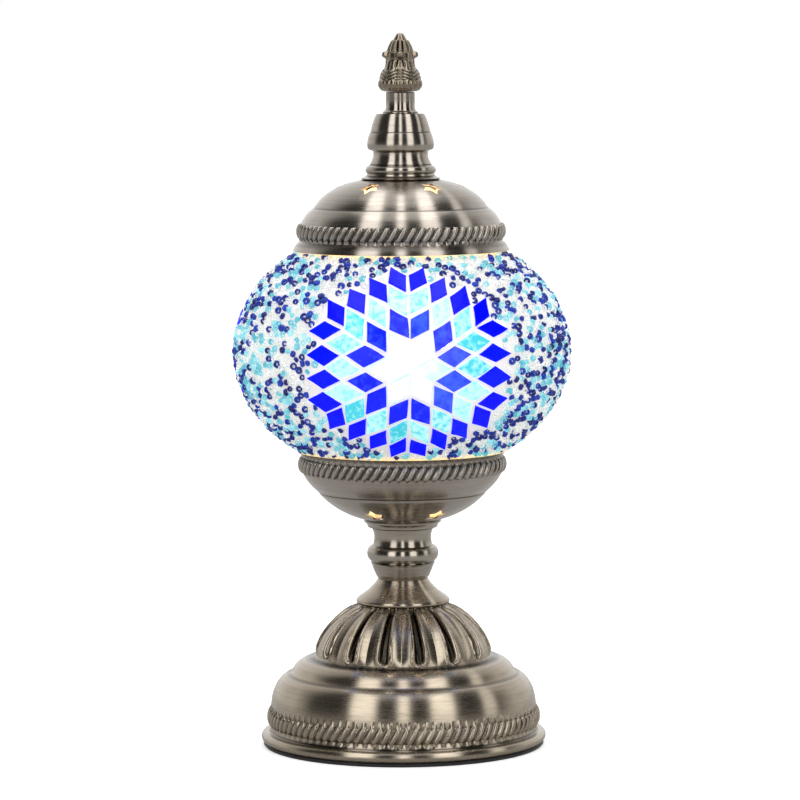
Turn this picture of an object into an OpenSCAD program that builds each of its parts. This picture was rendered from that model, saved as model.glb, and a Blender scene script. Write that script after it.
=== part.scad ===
// Mosaic glass table lamp. A spun metal base and a turned neck carry a cup, a harp
// and a screw lampholder. The globe rests on the cup, a pierced cap rests on the
// globe, and the finial screws down on the harp's stud. Millimetres, +Z up, with
// the origin on the table under the lamp's axis and the front towards -Y.

/* [Globe] */
// Diameter of the globe over its beads
globe_d = 160; // [156:1:164]
// Height of the whole ellipsoid that the globe is part of
globe_h = 120; // [118:1:122]
// Height of the globe's centre above the table
globe_z = 186; // [185:0.5:187]
// Height from the globe's centre to its cut rims
rim_h = 46.5; // [46:0.1:46.8]
// Wall of the blown glass
glass_t = 2.5; // [2:0.1:3]
// Bed of adhesive and grout on the glass
bed_t = 1; // [0.8:0.1:1.2]
// Thickness of the layer of beads on the bed
bead_t = 2.7; // [2.5:0.1:3]

/* [Medallions] */
// Number of star medallions round the globe
medallion_n = 3; // [1:1:3]
// Rings of rhombic tiles in a medallion
ring_n = 4; // [4:1:4]
// Spacing of the tiles along their sides
tile_pitch = 11.6; // [10.5:0.1:11.6]
// Width of the grout between two tiles
tile_gap = 1.5; // [1.2:0.1:2]
// Thickness of a glass tile
tile_t = 1.6; // [1.4:0.1:1.8]
// Turn of the first medallion from the front
medallion_turn = 2.7; // [-5:0.1:5]
// Height of the medallions' centres above the table
medallion_z = 183.5; // [183.5:0.1:184.5]

/* [Metalwork] */
// Diameter over the rolled edge of the base
base_d = 134; // [132:1:138]
// Thickness of the spun sheet
sheet_t = 1; // [0.8:0.1:1]
// Height of the base with its collar
base_h = 78.4; // [78.4:0.1:78.4]
// Height of the turned neck
neck_h = 28.1; // [28.1:0.1:28.1]
// Piercings round the cup and the cap
star_n = 6; // [3:1:8]
// Outer radius of a star piercing
star_r = 4.6; // [3.5:0.1:4.8]
// Height of the cap's lip above the table
cap_z = 233; // [233:0.1:234]
// Height of the turned column on the cap
column_h = 30.4; // [30.4:0.1:31]
// Height of the plain sleeve under the finial
sleeve_h = 10; // [9:0.1:11]
// Height of the finial
finial_h = 27.3; // [26:0.1:28]

/* [Electrical fittings] */
// Outer diameter of the hollow threaded tube
tube_d = 10; // [10:0.1:10]
// Bore of the threaded tube
tube_bore = 8; // [6:0.1:8]
// Bore of the cable bush
bush_bore = 7; // [6:0.1:7.4]
// Diameter of the bulb's glass
bulb_d = 45; // [40:1:48]
// Diameter of the harp's stud
stud_d = 6; // [5:0.1:6]
// Half the width between the harp's legs
harp_r = 30; // [29:0.1:30]

/* [Hidden] */
$fn = 96;

bronze = [0.62, 0.56, 0.46];
dark_bronze = [0.42, 0.37, 0.30];
zinc = [0.72, 0.73, 0.75];
brass = [0.80, 0.66, 0.36];

skin = 0.12;                      // keeps facets of two curved layers apart
slack = 0.05;                     // running clearance on a rod or a tube
base_r = base_d / 2;
neck_z = base_h;                  // the neck stands on the base
cup_z = neck_z + neck_h;          // the cup stands on the neck
bed_a = globe_d / 2 - bead_t;     // half axes of the grouted surface
bed_b = globe_h / 2 - bead_t;
glass_a = bed_a - bed_t;          // half axes of the bare glass
glass_b = bed_b - bed_t;
cap_top = cap_z + 33.2;           // the column stands on the cap
sleeve_z = cap_top + column_h;
finial_z = sleeve_z + sleeve_h + 0.3;
ballast_z = 16.5;
ballast_h = 9.5;
washer_t = 1.5;
nut_h = 5;
bush_z = 22.8;                    // height of the cable's way in
tube_bottom = 7.5;
cup_floor = cup_z + sheet_t;
harp_z = cup_floor + washer_t + nut_h;
strap_t = 2;
strap_w = 10;
harp_top = 243;
holder_z = harp_z + strap_t;
holder_h = 43;
holder_r = 14.2;
tube_top = holder_z + 6.5;
cap_foot = holder_z + 18;         // the tip of the bulb's contact when screwed home
bulb_neck = holder_z + holder_h - 1;
bulb_c = bulb_neck + 33;          // centre of the bulb's round glass
bulb_thread_r = 6.9;
thread_depth = 11;                // tapped depth of the finial
stud_top = finial_z + thread_depth - 1;

// Points of an elliptical arc about c, from angle a0 to a1
function arc(c, rx, rz, a0, a1, n = 10) =
    [for (i = [0:n]) let (a = a0 + (a1 - a0) * i / n) [c[0] + rx * cos(a), c[1] + rz * sin(a)]];

// Points of a curve from p to r that leans towards q
function bend(p, q, r, n = 8) =
    [for (i = [0:n]) let (t = i / n) (1 - t) * (1 - t) * p + 2 * t * (1 - t) * q + t * t * r];

function reversed(line) = [for (i = [len(line) - 1:-1:0]) line[i]];

// The line at distance t to the left of an outline that runs upwards
function inset(line, t) =
    [for (i = [0:len(line) - 1])
        let (d = line[min(i + 1, len(line) - 1)] - line[max(i - 1, 0)])
        line[i] + t * [-d[1], d[0]] / norm(d)];

// A spun sheet whose outer face follows the outline
module sheet(line, t = sheet_t) {
    rotate_extrude() polygon(concat(line, reversed(inset(line, t))));
}

// A turned piece with a bore, from its outline between two heights
module turned(line, bore_r) {
    rotate_extrude()
        polygon(concat([[bore_r, line[0][1]]], line, [[bore_r, line[len(line) - 1][1]]]));
}

// A band of the globe between two ellipsoids, cut at two heights from its centre
module globe_band(a_out, b_out, a_in, b_in, low, high) {
    outer = arc([0, globe_z], a_out, b_out, asin(low / b_out), asin(high / b_out), 24);
    inner = arc([0, globe_z], a_in, b_in, asin(high / b_in), asin(low / b_in), 24);
    rotate_extrude($fn = 128) polygon(concat(outer, inner));
}

// Where a walk of length d ends on the grouted surface: [turn, latitude]. The walk
// starts at a turn and a latitude and heads at an angle above the horizontal.
function walk(d, heading, turn, lat, n = 12) =
    n == 0 ? [turn, lat] :
    let (
        r = bed_a * cos(lat),
        m = sqrt(pow(bed_a * sin(lat), 2) + pow(bed_b * cos(lat), 2)),
        step = d / n * 180 / PI)
    walk(d * (n - 1) / n, heading - step * bed_a * sin(lat) / m / r * cos(heading),
        turn + step * cos(heading) / r, lat + step * sin(heading) / m, n - 1);

medallion_lat = asin((medallion_z - globe_z) / bed_b);

// The point [u, v] of a medallion laid on the globe: [turn, latitude]
function laid(p) = walk(norm(p), atan2(p[1], p[0]), 0, medallion_lat);

// The middle of a tile, the way its long diagonal points, both in the medallion's plane
function tile_mid(sector, ring, place) =
    let (along = ring * tile_pitch * sqrt(3) / 2, across = (place - (ring - 1) / 2) * tile_pitch)
    [along * cos(sector) - across * sin(sector), along * sin(sector) + across * cos(sector)];

module rhombus(side) {
    long = side * sqrt(3) / 2;
    short = side / 2;
    polygon([[long, 0], [0, short], [-long, 0], [0, -short]]);
}

// One flat tile that touches the grouted surface at its middle
module tile(sector, ring, place) {
    mid = tile_mid(sector, ring, place);
    reach = tile_pitch / 2 * [cos(sector), sin(sector)];
    here = laid(mid);
    span = laid(mid + reach) - laid(mid - reach);
    lat = here[1];
    slope = sqrt(pow(bed_a * sin(lat), 2) + pow(bed_b * cos(lat), 2));
    tilt = atan2(sin(lat) / bed_b, cos(lat) / bed_a);
    side = tile_pitch - tile_gap / sin(60);
    rotate([0, 0, here[0]])
        translate([0, -bed_a * cos(lat), globe_z + bed_b * sin(lat)])
            rotate([90 - tilt, 0, 0])
                rotate([0, 0, atan2(slope * span[1], bed_a * cos(lat) * span[0])])
                    translate([0, 0, slack]) linear_extrude(tile_t) rhombus(side);
}

// One ring of tiles on every medallion
module tile_ring(ring) {
    for (m = [0:medallion_n - 1], sector = [0:60:300], place = [0:ring - 1])
        rotate([0, 0, medallion_turn + m * 360 / medallion_n]) tile(sector, ring, place);
}

// The outline of a medallion seen square on, as the window in the layer of beads
module medallion_window() {
    side_r = norm([(ring_n + 1) * sqrt(3) / 2, ring_n / 2]) * tile_pitch + 2.4;
    half = atan2(ring_n / 2, (ring_n + 1) * sqrt(3) / 2);
    polygon([for (sector = [0:60:300], a = [-half, half])
        let (g = walk(side_r, sector + a, 0, medallion_lat))
        [bed_a * cos(g[1]) * sin(g[0]), globe_z + bed_b * sin(g[1])]]);
}

module star_prism(h) {
    linear_extrude(h) scale([1.25, 1])
        polygon([for (i = [0:9]) (i % 2 == 0 ? star_r : star_r * 0.56) * [cos(36 * i), sin(36 * i)]]);
}

// Stars cut square through a bowl at radius r, height z and slope
module star_cuts(r, z, slope, turn) {
    for (i = [0:star_n - 1])
        rotate([0, 0, turn + i * 360 / star_n])
            translate([r, 0, z]) rotate([0, slope, 0]) translate([0, 0, -6]) star_prism(12);
}

module hex_nut(width, h, bore_r) {
    difference() {
        cylinder(r = width / sqrt(3), h = h, $fn = 6);
        translate([0, 0, -1]) cylinder(r = bore_r, h = h + 2);
    }
}

module washer(r, h, bore_r) {
    difference() {
        cylinder(r = r, h = h);
        translate([0, 0, -1]) cylinder(r = bore_r, h = h + 2);
    }
}

// ---- Base ----

// Spun base: rolled edge, rope band, shoulder, fluted dome and collar
module base_shell() {
    wall_r = base_r - 4.5;
    edge_r = 2.4;
    line = concat(
        [[base_r - edge_r - 0.8, 4.4], [wall_r + 0.3, 8.6]],
        arc([wall_r - 0.3, 13.4], 1.6, 3.6, -75, 75),
        arc([wall_r - 10.5, 18], 10.5, 16, 0, 70),
        [[wall_r - 8.8, 34]],
        arc([wall_r - 22, 32.8], 12.2, 8.8, 12, 80),
        arc([0, 38], wall_r - 21, 32.3, 9, 57),
        arc([20.6, 68], 1.4, 1.5, -60, 70, 6),
        bend([20.4, 70.2], [14.5, 74], [12.3, base_h - 0.8]),
        [[11.7, base_h], [tube_d / 2 + 0.2, base_h]]);
    color(bronze) difference() {
        union() {
            sheet(line);
            rotate_extrude() translate([base_r - edge_r, 4.2]) circle(r = edge_r);
        }
        translate([0, base_r - 12, bush_z]) rotate([-90, 0, 0]) cylinder(r = 4.6, h = 20);
    }
}

// Black ring that the base stands on, with a lip inside the rolled edge
module foot_ring() {
    color([0.05, 0.05, 0.05]) rotate_extrude()
        polygon([[base_r - 6.4, 0], [base_r - 1.6, 0], [base_r - 1, 0.6], [base_r - 1, 1.3],
            [base_r - 1.6, 1.75], [base_r - 5.1, 1.75], [base_r - 5.1, 4.2], [base_r - 6.4, 4.2]]);
}

module ballast_disc() {
    r = base_r - 7.6;
    color([0.3, 0.3, 0.32]) translate([0, 0, ballast_z]) difference() {
        rotate_extrude() polygon([[tube_d / 2 + 0.3, 0], [r - 1, 0], [r, 1], [r, ballast_h - 2],
            [r - 1.5, ballast_h], [tube_d / 2 + 0.3, ballast_h]]);
        translate([-8, base_r - 19, -1]) cube([16, 30, ballast_h + 2]);
        translate([30, 0, -1]) cylinder(r = 2, h = 7);
    }
}

module bottom_card() {
    color([0.55, 0.45, 0.3]) translate([0, 0, 2.3]) cylinder(r = base_r - 6.7, h = 1.8);
}

module felt_pad() {
    color([0.08, 0.12, 0.09]) translate([0, 0, 1.3]) cylinder(r = base_r - 7, h = 1);
}

// Grommet in the rear wall of the base
module cable_bush() {
    y = base_r - 5;
    color([0.06, 0.06, 0.06]) translate([0, y, bush_z]) rotate([-90, 0, 0]) rotate_extrude()
        polygon(concat([[bush_bore / 2, -4.8], [5.2, -4.8], [5.2, -3.4], [4.4, -3.1], [4.4, 0.6]],
            [[5.4, 0.9]], arc([4.4, 1.2], 1, 1.2, 0, 80, 4), [[bush_bore / 2, 2.4]]));
}

module threaded_tube() {
    color(zinc) translate([0, 0, tube_bottom])
        washer(tube_d / 2, tube_top - tube_bottom, tube_bore / 2);
}

module base_washer() {
    color(zinc) translate([0, 0, ballast_z - washer_t]) washer(12, washer_t, tube_d / 2 + 0.2);
}

module base_nut() {
    color(zinc) translate([0, 0, ballast_z - washer_t - nut_h])
        hex_nut(14, nut_h, tube_d / 2 + slack);
}

// Earth screw in the ballast's underside
module earth_screw() {
    color(brass) translate([30, 0, ballast_z]) {
        translate([0, 0, -1]) cylinder(r = 1.9, h = 6);
        translate([0, 0, -3.2]) difference() {
            cylinder(r = 3.6, h = 2.2);
            translate([-0.5, -4, -1]) cube([1, 8, 2]);
        }
    }
}

module earth_washer() {
    color(brass) translate([30, 0, ballast_z - 1]) washer(4.4, 0.9, 2);
}

// ---- Neck, cup and harp ----

module neck_spool() {
    line = concat(
        [[11.6, neck_z], [12.2, neck_z + 1.2]],
        bend([12.5, neck_z + 1.4], [13.8, neck_z + 4.5], [14.9, neck_z + 7.4], 6),
        [[15.2, neck_z + 7.9]],
        arc([13.7, neck_z + 12.1], 3.1, 3.9, -60, 80),
        bend([14, neck_z + 16.2], [12.6, neck_z + 19.8], [14.3, neck_z + 23.6], 8),
        [[14.5, neck_z + 24.1], [16.4, neck_z + 24.5]],
        bend([16.5, neck_z + 25], [16.8, neck_z + 26.4], [18.1, neck_z + 26.9], 5),
        [[18.3, neck_z + 27.5], [18, neck_z + neck_h]]);
    color(bronze) turned(line, tube_d / 2 + 0.2);
}

// Pierced cup under the globe: bowl, step, rope band and flared lip
module cup() {
    z = cup_z;
    line = concat(
        [[tube_d / 2 + 0.2, z], [17.4, z]],
        bend([18.4, z + 0.3], [31, z + 3.5], [39, z + 12.4], 10),
        [[39.2, z + 13], [40, z + 13.6]],
        bend([40.2, z + 13.9], [44.6, z + 17.4], [46.8, z + 22.2], 8),
        arc([46.7, z + 26.2], 1.6, 3.1, -70, 70, 8),
        bend([47.2, z + 29.6], [47.2, z + 31], [49.4, z + 32.6], 6));
    color(bronze) difference() {
        sheet(line);
        star_cuts(28, z + 4.6, -37, 3);
    }
}

module cup_washer() {
    color(zinc) translate([0, 0, cup_floor]) washer(13, washer_t, tube_d / 2 + 0.2);
}

module cup_nut() {
    color(zinc) translate([0, 0, cup_floor + washer_t]) hex_nut(14, nut_h, tube_d / 2 + slack);
}

// Round ring in the cup's lip that the globe sits on
module lower_gasket() {
    color([0.85, 0.83, 0.78]) rotate_extrude()
        translate([46.1, globe_z - rim_h - 0.9]) circle(r = 0.9, $fn = 24);
}

// Bent strap round the bulb, held under the lampholder
module harp() {
    low = 8;
    high = 12;
    inner = concat(
        arc([harp_r - low, harp_z + strap_t + low], low, low, -90, 0, 6),
        arc([harp_r - high, harp_top - high], high, high, 0, 90, 6));
    outer = concat(
        arc([harp_r - low, harp_z + strap_t + low], low + strap_t, low + strap_t, -90, 0, 6),
        arc([harp_r - high, harp_top - high], high + strap_t, high + strap_t, 0, 90, 6));
    flip = [[-1, 0], [0, 1]];
    color(zinc) difference() {
        translate([0, strap_w / 2, 0]) rotate([90, 0, 0]) linear_extrude(strap_w) difference() {
            polygon(concat(outer, reversed([for (p = outer) flip * p])));
            polygon(concat(inner, reversed([for (p = inner) flip * p])));
        }
        translate([0, 0, harp_z - 1]) cylinder(r = tube_d / 2 + 0.15, h = strap_t + 2);
        translate([0, 0, harp_top - 1]) cylinder(r = stud_d / 2 + 0.15, h = strap_t + 2);
    }
}

// Lock nuts above and below the harp's bridge
module harp_nuts() {
    color(zinc) for (z = [harp_top - nut_h, harp_top + strap_t])
        translate([0, 0, z]) hex_nut(10, nut_h, stud_d / 2 + slack);
}

module stud() {
    color(zinc) translate([0, 0, harp_top - nut_h - 1.5]) rotate_extrude()
        polygon([[0, 0], [stud_d / 2, 0], [stud_d / 2, stud_top - harp_top + nut_h + 0.5],
            [stud_d / 2 - 1, stud_top - harp_top + nut_h + 1.5],
            [0, stud_top - harp_top + nut_h + 1.5]]);
}

// ---- Lampholder ----

module holder_base() {
    color([0.08, 0.08, 0.08]) translate([0, 0, holder_z]) turned(
        [[10, 0], [12, 1.5], [holder_r, 5], [holder_r, 13], [holder_r - 1.4, 13],
            [holder_r - 1.4, 8]], tube_d / 2 + slack);
}

module holder_core() {
    color([0.9, 0.88, 0.82]) translate([0, 0, holder_z]) rotate_extrude()
        polygon([[0, 10], [holder_r - 1.8, 10], [holder_r - 1.8, 15], [8.6, 15], [8.6, 16],
            [0, 16]]);
}

module holder_shell() {
    color([0.08, 0.08, 0.08]) translate([0, 0, holder_z]) rotate_extrude()
        polygon([[holder_r, 13.3], [holder_r, holder_h - 1], [holder_r - 1, holder_h],
            [9.8, holder_h], [9.8, holder_h - 1.4], [holder_r - 1.6, holder_h - 1.4],
            [holder_r - 1.6, 13.3]]);
}

// Brass sleeve that takes the thread of the bulb's cap
module screw_shell() {
    color(brass) translate([0, 0, holder_z + 16]) difference() {
        union() {
            washer(bulb_thread_r + 0.9, 24, bulb_thread_r + 0.4);
            washer(bulb_thread_r + 1.7, 0.8, bulb_thread_r + 0.4);
        }
    }
}

// Tongue that presses on the tip of the bulb
module centre_contact() {
    color(brass) translate([-2.5, -2.5, holder_z + 16]) {
        cube([5, 5, 0.5]);
        translate([0, 0, 0.5]) cube([5, 1, 0.7]);
        translate([0, 0, 1.2]) cube([5, 5, 0.4]);
    }
}

module terminal_screws() {
    color(brass) for (x = [-7.5, 7.5]) translate([x, 0, holder_z + 8.1]) difference() {
        cylinder(r = 2.2, h = 1.9);
        translate([-0.4, -3, -1]) cube([0.8, 6, 1.8]);
    }
}

// ---- Globe ----

module globe_glass() {
    color([0.85, 0.93, 0.95, 0.5])
        globe_band(glass_a, glass_b, glass_a - glass_t, glass_b - glass_t, -rim_h, rim_h);
}

module grout_bed() {
    color([0.88, 0.84, 0.84])
        globe_band(bed_a, bed_b, glass_a, glass_b, -rim_h, rim_h);
}

module star_tiles() { color([0.92, 0.98, 1]) tile_ring(1); }
module inner_blue_tiles() { color([0.03, 0.06, 0.85]) tile_ring(2); }
module cyan_tiles() { color([0.45, 0.88, 0.93]) tile_ring(3); }
module outer_blue_tiles() { color([0.03, 0.06, 0.85]) tile_ring(4); }

// Layer that the seed beads fill round the medallions
module bead_layer() {
    color([0.62, 0.78, 0.88]) difference() {
        globe_band(globe_d / 2, globe_h / 2, bed_a + skin, bed_b + skin, -rim_h + 0.8, rim_h - 0.8);
        for (m = [0:medallion_n - 1])
            rotate([0, 0, medallion_turn + m * 360 / medallion_n])
                translate([0, -30, 0]) rotate([90, 0, 0]) linear_extrude(80) medallion_window();
    }
}

// ---- Cap, column and finial ----

// Pierced cap on the globe: flared lip, rope band, step and dome
module top_cap() {
    z = cap_z;
    line = concat(
        bend([50.6, z], [50, z + 2.4], [47.4, z + 4.6], 6),
        arc([46.7, z + 9], 1.6, 3.1, -70, 70, 8),
        bend([46.8, z + 12.6], [45.2, z + 16.6], [41.6, z + 19.4], 8),
        [[40.7, z + 20], [40.4, z + 20.5]],
        bend([40.2, z + 20.8], [34.6, z + 29.6], [18.6, z + 32.9], 10),
        [[17.4, z + 33.2], [stud_d / 2 + 0.4, z + 33.2]]);
    color(bronze) difference() {
        sheet(line);
        star_cuts(28, z + 29.6, 30, 0);
    }
}

module cap_washer() {
    color(zinc) translate([0, 0, cap_top - sheet_t - washer_t])
        washer(9, washer_t, stud_d / 2 + 0.4);
}

// Round ring in the cap's lip that rests on the globe
module upper_gasket() {
    color([0.85, 0.83, 0.78]) rotate_extrude()
        translate([46.9, globe_z + rim_h + 1.5]) circle(r = 1, $fn = 24);
}

module spindle() {
    z = cap_top;
    line = concat(
        [[18.4, z], [18.6, z + 0.5]],
        bend([18, z + 0.8], [16.6, z + 1.3], [15.8, z + 2.2], 4),
        arc([14.2, z + 4.2], 2.3, 2.2, -50, 75, 8),
        bend([14.6, z + 6.9], [12.9, z + 9.2], [12.8, z + 11.6], 6),
        [[12.8, z + 12.6], [13.4, z + 13.2], [14.2, z + 13.5]],
        bend([15.2, z + 13.9], [16.4, z + 16.4], [14.4, z + 21.6], 8),
        bend([14, z + 22.3], [13.4, z + 25.6], [12, z + 28.9], 6),
        [[11.7, z + 29.4], [11.2, z + column_h]]);
    color(bronze) turned(line, stud_d / 2 + 0.4);
}

module finial_sleeve() {
    line = concat(
        [[8.2, 0], [8.3, 0.6]],
        bend([8, 1], [7, 1.3], [6.8, 3], 4),
        [[6.8, sleeve_h - 0.4], [6.4, sleeve_h]]);
    color(bronze) translate([0, 0, sleeve_z + 0.1]) turned(line, stud_d / 2 + 0.1);
}

// Cast finial: ringed foot, waist, four leaf tips and a ribbed point
module finial() {
    k = finial_h / 27.3;
    line = concat(
        [[stud_d / 2 + slack, 0], [7.4, 0], [9.2, 0.8]],
        arc([8.4, 3.6], 1.6, 2.2, -50, 60, 6),
        bend([9.3, 6.3], [8.8, 8.8], [7.6, 10], 5),
        bend([7.1, 11.2], [6.4, 13.2], [6.2, 15.4], 5),
        [[6, 17.8], [5.6, 19.4]],
        bend([5.4, 20], [4.8, 22.2], [2.9, 24], 5),
        bend([2.4, 24.5], [1, 26.2], [0, 27.3], 4),
        [[0, thread_depth], [stud_d / 2 + slack, thread_depth]]);
    color(dark_bronze) translate([0, 0, finial_z]) {
        rotate_extrude() polygon([for (p = line) [p[0], p[1] > thread_depth ? p[1] * k : p[1]]]);
        for (a = [0:90:270]) rotate([0, 0, a]) translate([6.7, 0, 17.2 * k]) sphere(r = 2.1);
    }
}

// ---- Bulb ----

module bulb_contact() {
    color(zinc) translate([0, 0, cap_foot]) rotate_extrude()
        polygon([[0, 0], [1.8, 0], [2.4, 0.5], [2.4, 1], [0, 1]]);
}

module bulb_insulator() {
    color([0.05, 0.05, 0.05]) translate([0, 0, cap_foot + 1.05]) rotate_extrude()
        polygon([[0, 0], [2.6, 0], [5.2, 1.6], [0, 1.6]]);
}

module bulb_cap() {
    z = cap_foot + 2.7;
    color(zinc) rotate_extrude() polygon([[5.4, z], [bulb_thread_r, z + 1.2],
        [bulb_thread_r, bulb_neck], [bulb_thread_r + 1.4, bulb_neck + 3.2],
        [bulb_thread_r + 1, bulb_neck + 3.2], [bulb_thread_r - 0.4, bulb_neck],
        [bulb_thread_r - 0.4, z + 1.4], [5, z + 0.4]]);
}

// Round glass that narrows into the cap
module bulb_glass() {
    r = bulb_d / 2;
    wall = 0.8;
    foot = bulb_neck + 0.4;
    outer = concat(
        bend([bulb_thread_r - 0.5, foot], [10.4, foot + 9], [r * cos(-38), bulb_c - r * sin(38)], 8),
        arc([0, bulb_c], r, r, -34, 90, 16));
    inner = concat(
        arc([0, bulb_c], r - wall, r - wall, 90, -34, 16),
        bend([(r - wall) * cos(-38), bulb_c - (r - wall) * sin(38)], [9.4, foot + 9],
            [bulb_thread_r - 1.4, foot], 8));
    color([1, 0.96, 0.88, 0.6]) rotate_extrude() polygon(concat(outer, inner));
}

module bulb_stem() {
    color([0.9, 0.93, 0.95, 0.6]) rotate_extrude()
        polygon([[0, bulb_neck + 1], [5, bulb_neck + 1], [3, bulb_neck + 6],
            [1.6, bulb_neck + 12], [1.6, bulb_c - 8], [0, bulb_c - 7]]);
}

// Filament ring on two support wires
module bulb_filament() {
    wire_r = 0.35;
    color([1, 0.75, 0.35]) {
        for (x = [-6, 6]) {
            translate([x, 0, bulb_c - 8]) cylinder(r = wire_r, h = 8, $fn = 16);
            translate([x, 0, bulb_c - 8]) rotate([0, -sign(x) * 90, 0])
                cylinder(r = wire_r, h = 4.3, $fn = 16);
        }
        translate([0, 0, bulb_c]) rotate_extrude(angle = 300, $fn = 48)
            translate([6, 0]) circle(r = 0.5, $fn = 16);
    }
}

base_shell();
foot_ring();
ballast_disc();
bottom_card();
felt_pad();
cable_bush();
threaded_tube();
base_washer();
base_nut();
earth_screw();
earth_washer();
neck_spool();
cup();
cup_washer();
cup_nut();
lower_gasket();
harp();
harp_nuts();
stud();
holder_base();
holder_core();
holder_shell();
screw_shell();
centre_contact();
terminal_screws();
globe_glass();
grout_bed();
star_tiles();
inner_blue_tiles();
cyan_tiles();
outer_blue_tiles();
bead_layer();
top_cap();
cap_washer();
upper_gasket();
spindle();
finial_sleeve();
finial();
bulb_contact();
bulb_glass();
bulb_cap();
bulb_insulator();
bulb_stem();
bulb_filament();
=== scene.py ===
"""Mosaic glass table lamp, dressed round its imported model.

Each sub-assembly is a class that makes its pieces in millimetres and lays them on the
model's bodies. Z is up, the origin is on the table under the lamp's axis and the front
faces -Y.
"""

import logging
import math
import random
from dataclasses import dataclass, field
from enum import Enum
from typing import Callable

import bpy
import numpy as np
from mathutils import Matrix, Vector, noise
from mathutils.bvhtree import BVHTree


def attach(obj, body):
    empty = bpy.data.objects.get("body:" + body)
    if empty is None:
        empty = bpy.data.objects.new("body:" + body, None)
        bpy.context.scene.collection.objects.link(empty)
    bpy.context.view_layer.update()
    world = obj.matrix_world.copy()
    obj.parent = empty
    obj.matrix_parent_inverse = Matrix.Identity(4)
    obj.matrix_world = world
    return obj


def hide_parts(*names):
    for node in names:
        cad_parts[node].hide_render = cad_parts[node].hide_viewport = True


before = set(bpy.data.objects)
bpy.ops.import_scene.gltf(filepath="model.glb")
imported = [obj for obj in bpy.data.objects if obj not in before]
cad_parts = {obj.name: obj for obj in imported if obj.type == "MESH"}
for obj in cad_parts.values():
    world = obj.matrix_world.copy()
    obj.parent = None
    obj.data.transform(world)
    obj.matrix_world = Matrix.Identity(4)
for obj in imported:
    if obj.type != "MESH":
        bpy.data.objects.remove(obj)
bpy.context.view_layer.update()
log = logging.getLogger("mosaic_lamp")

MM = 0.001
FRONT = -90.0
FULL_TURN = 2 * math.pi
WHITE = (1.0, 1.0, 1.0)

Point = tuple[float, float]
Outline = list[Point]
Colour = tuple[float, float, float]
Grid = np.ndarray
Pressed = tuple[Grid, Grid]
Relief = Callable[[Grid, Grid, Grid], Pressed]
Piece = bpy.types.Object
Material = bpy.types.Material
Socket = bpy.types.NodeSocket


class Body(Enum):
    """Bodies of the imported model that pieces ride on."""

    STAND = "stand"
    GLOBE = "globe"
    CAP = "cap"
    SLEEVE = "sleeve"
    FINIAL = "finial"
    BULB = "bulb"


# ---- Outlines -------------------------------------------------------------------


def arc(centre: Point, rx: float, rz: float, start: float, stop: float, steps: int = 14) -> Outline:
    """Points of an elliptical arc.

    Args:
        centre: Middle of the ellipse.
        rx: Half axis across.
        rz: Half axis upwards.
        start: First angle in degrees.
        stop: Last angle in degrees.
        steps: Number of steps between them.

    Returns:
        The points in order.
    """
    turns = [math.radians(start + (stop - start) * i / steps) for i in range(steps + 1)]
    return [(centre[0] + rx * math.cos(a), centre[1] + rz * math.sin(a)) for a in turns]


def bend(first: Point, lean: Point, last: Point, steps: int = 12) -> Outline:
    """Points of a curve from first to last that leans towards a third point.

    Args:
        first: Where the curve starts.
        lean: The point it leans towards.
        last: Where it ends.
        steps: Number of steps.

    Returns:
        The points in order.
    """
    line = []
    for i in range(steps + 1):
        t = i / steps
        k = ((1 - t) ** 2, 2 * t * (1 - t), t * t)
        line.append(tuple(k[0] * first[n] + k[1] * lean[n] + k[2] * last[n] for n in (0, 1)))
    return line


def outward(line: Grid) -> Grid:
    """Unit directions that point away from the axis, square to an outline that runs upwards.

    Args:
        line: Points of the outline, one a row.

    Returns:
        One direction for each point.
    """
    ahead = np.vstack([line[1:], line[-1:]])
    behind = np.vstack([line[:1], line[:-1]])
    along = ahead - behind
    square = np.column_stack([along[:, 1], -along[:, 0]])
    return square / np.maximum(np.linalg.norm(square, axis=1, keepdims=True), 1e-9)


def ramp_up(x: Grid, low: float, high: float) -> Grid:
    """A smooth step from 0 at low to 1 at high.

    Args:
        x: Values to step.
        low: Where the step starts.
        high: Where it ends.

    Returns:
        The stepped values.
    """
    t = np.clip((x - low) / (high - low), 0, 1)
    return t * t * (3 - 2 * t)


# ---- Meshes ---------------------------------------------------------------------


def make_piece(name: str, points: Grid, faces: list[tuple[int, ...]]) -> Piece:
    """Makes a smooth-shaded object from points in millimetres.

    Args:
        name: Name of the piece.
        points: Its points, one a row.
        faces: Its faces as point numbers.

    Returns:
        The new object at the origin.
    """
    mesh = bpy.data.meshes.new(name)
    mesh.from_pydata((np.asarray(points) * MM).tolist(), [], faces)
    mesh.polygons.foreach_set("use_smooth", [True] * len(mesh.polygons))
    piece = bpy.data.objects.new(name, mesh)
    bpy.context.scene.collection.objects.link(piece)
    return piece


def mark(piece: Piece, name: str, values: Grid) -> None:
    """Stores one number for each point of a piece.

    Args:
        piece: The piece.
        name: Name of the attribute.
        values: One number for each point.
    """
    layer = piece.data.attributes.new(name, "FLOAT", "POINT")
    layer.data.foreach_set("value", np.asarray(values, np.float32).ravel())


def crease(piece: Piece, degrees: float = 38.0) -> None:
    """Shades edges sharper than an angle as sharp."""
    piece.data.set_sharp_from_angle(angle=math.radians(degrees))


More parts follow.
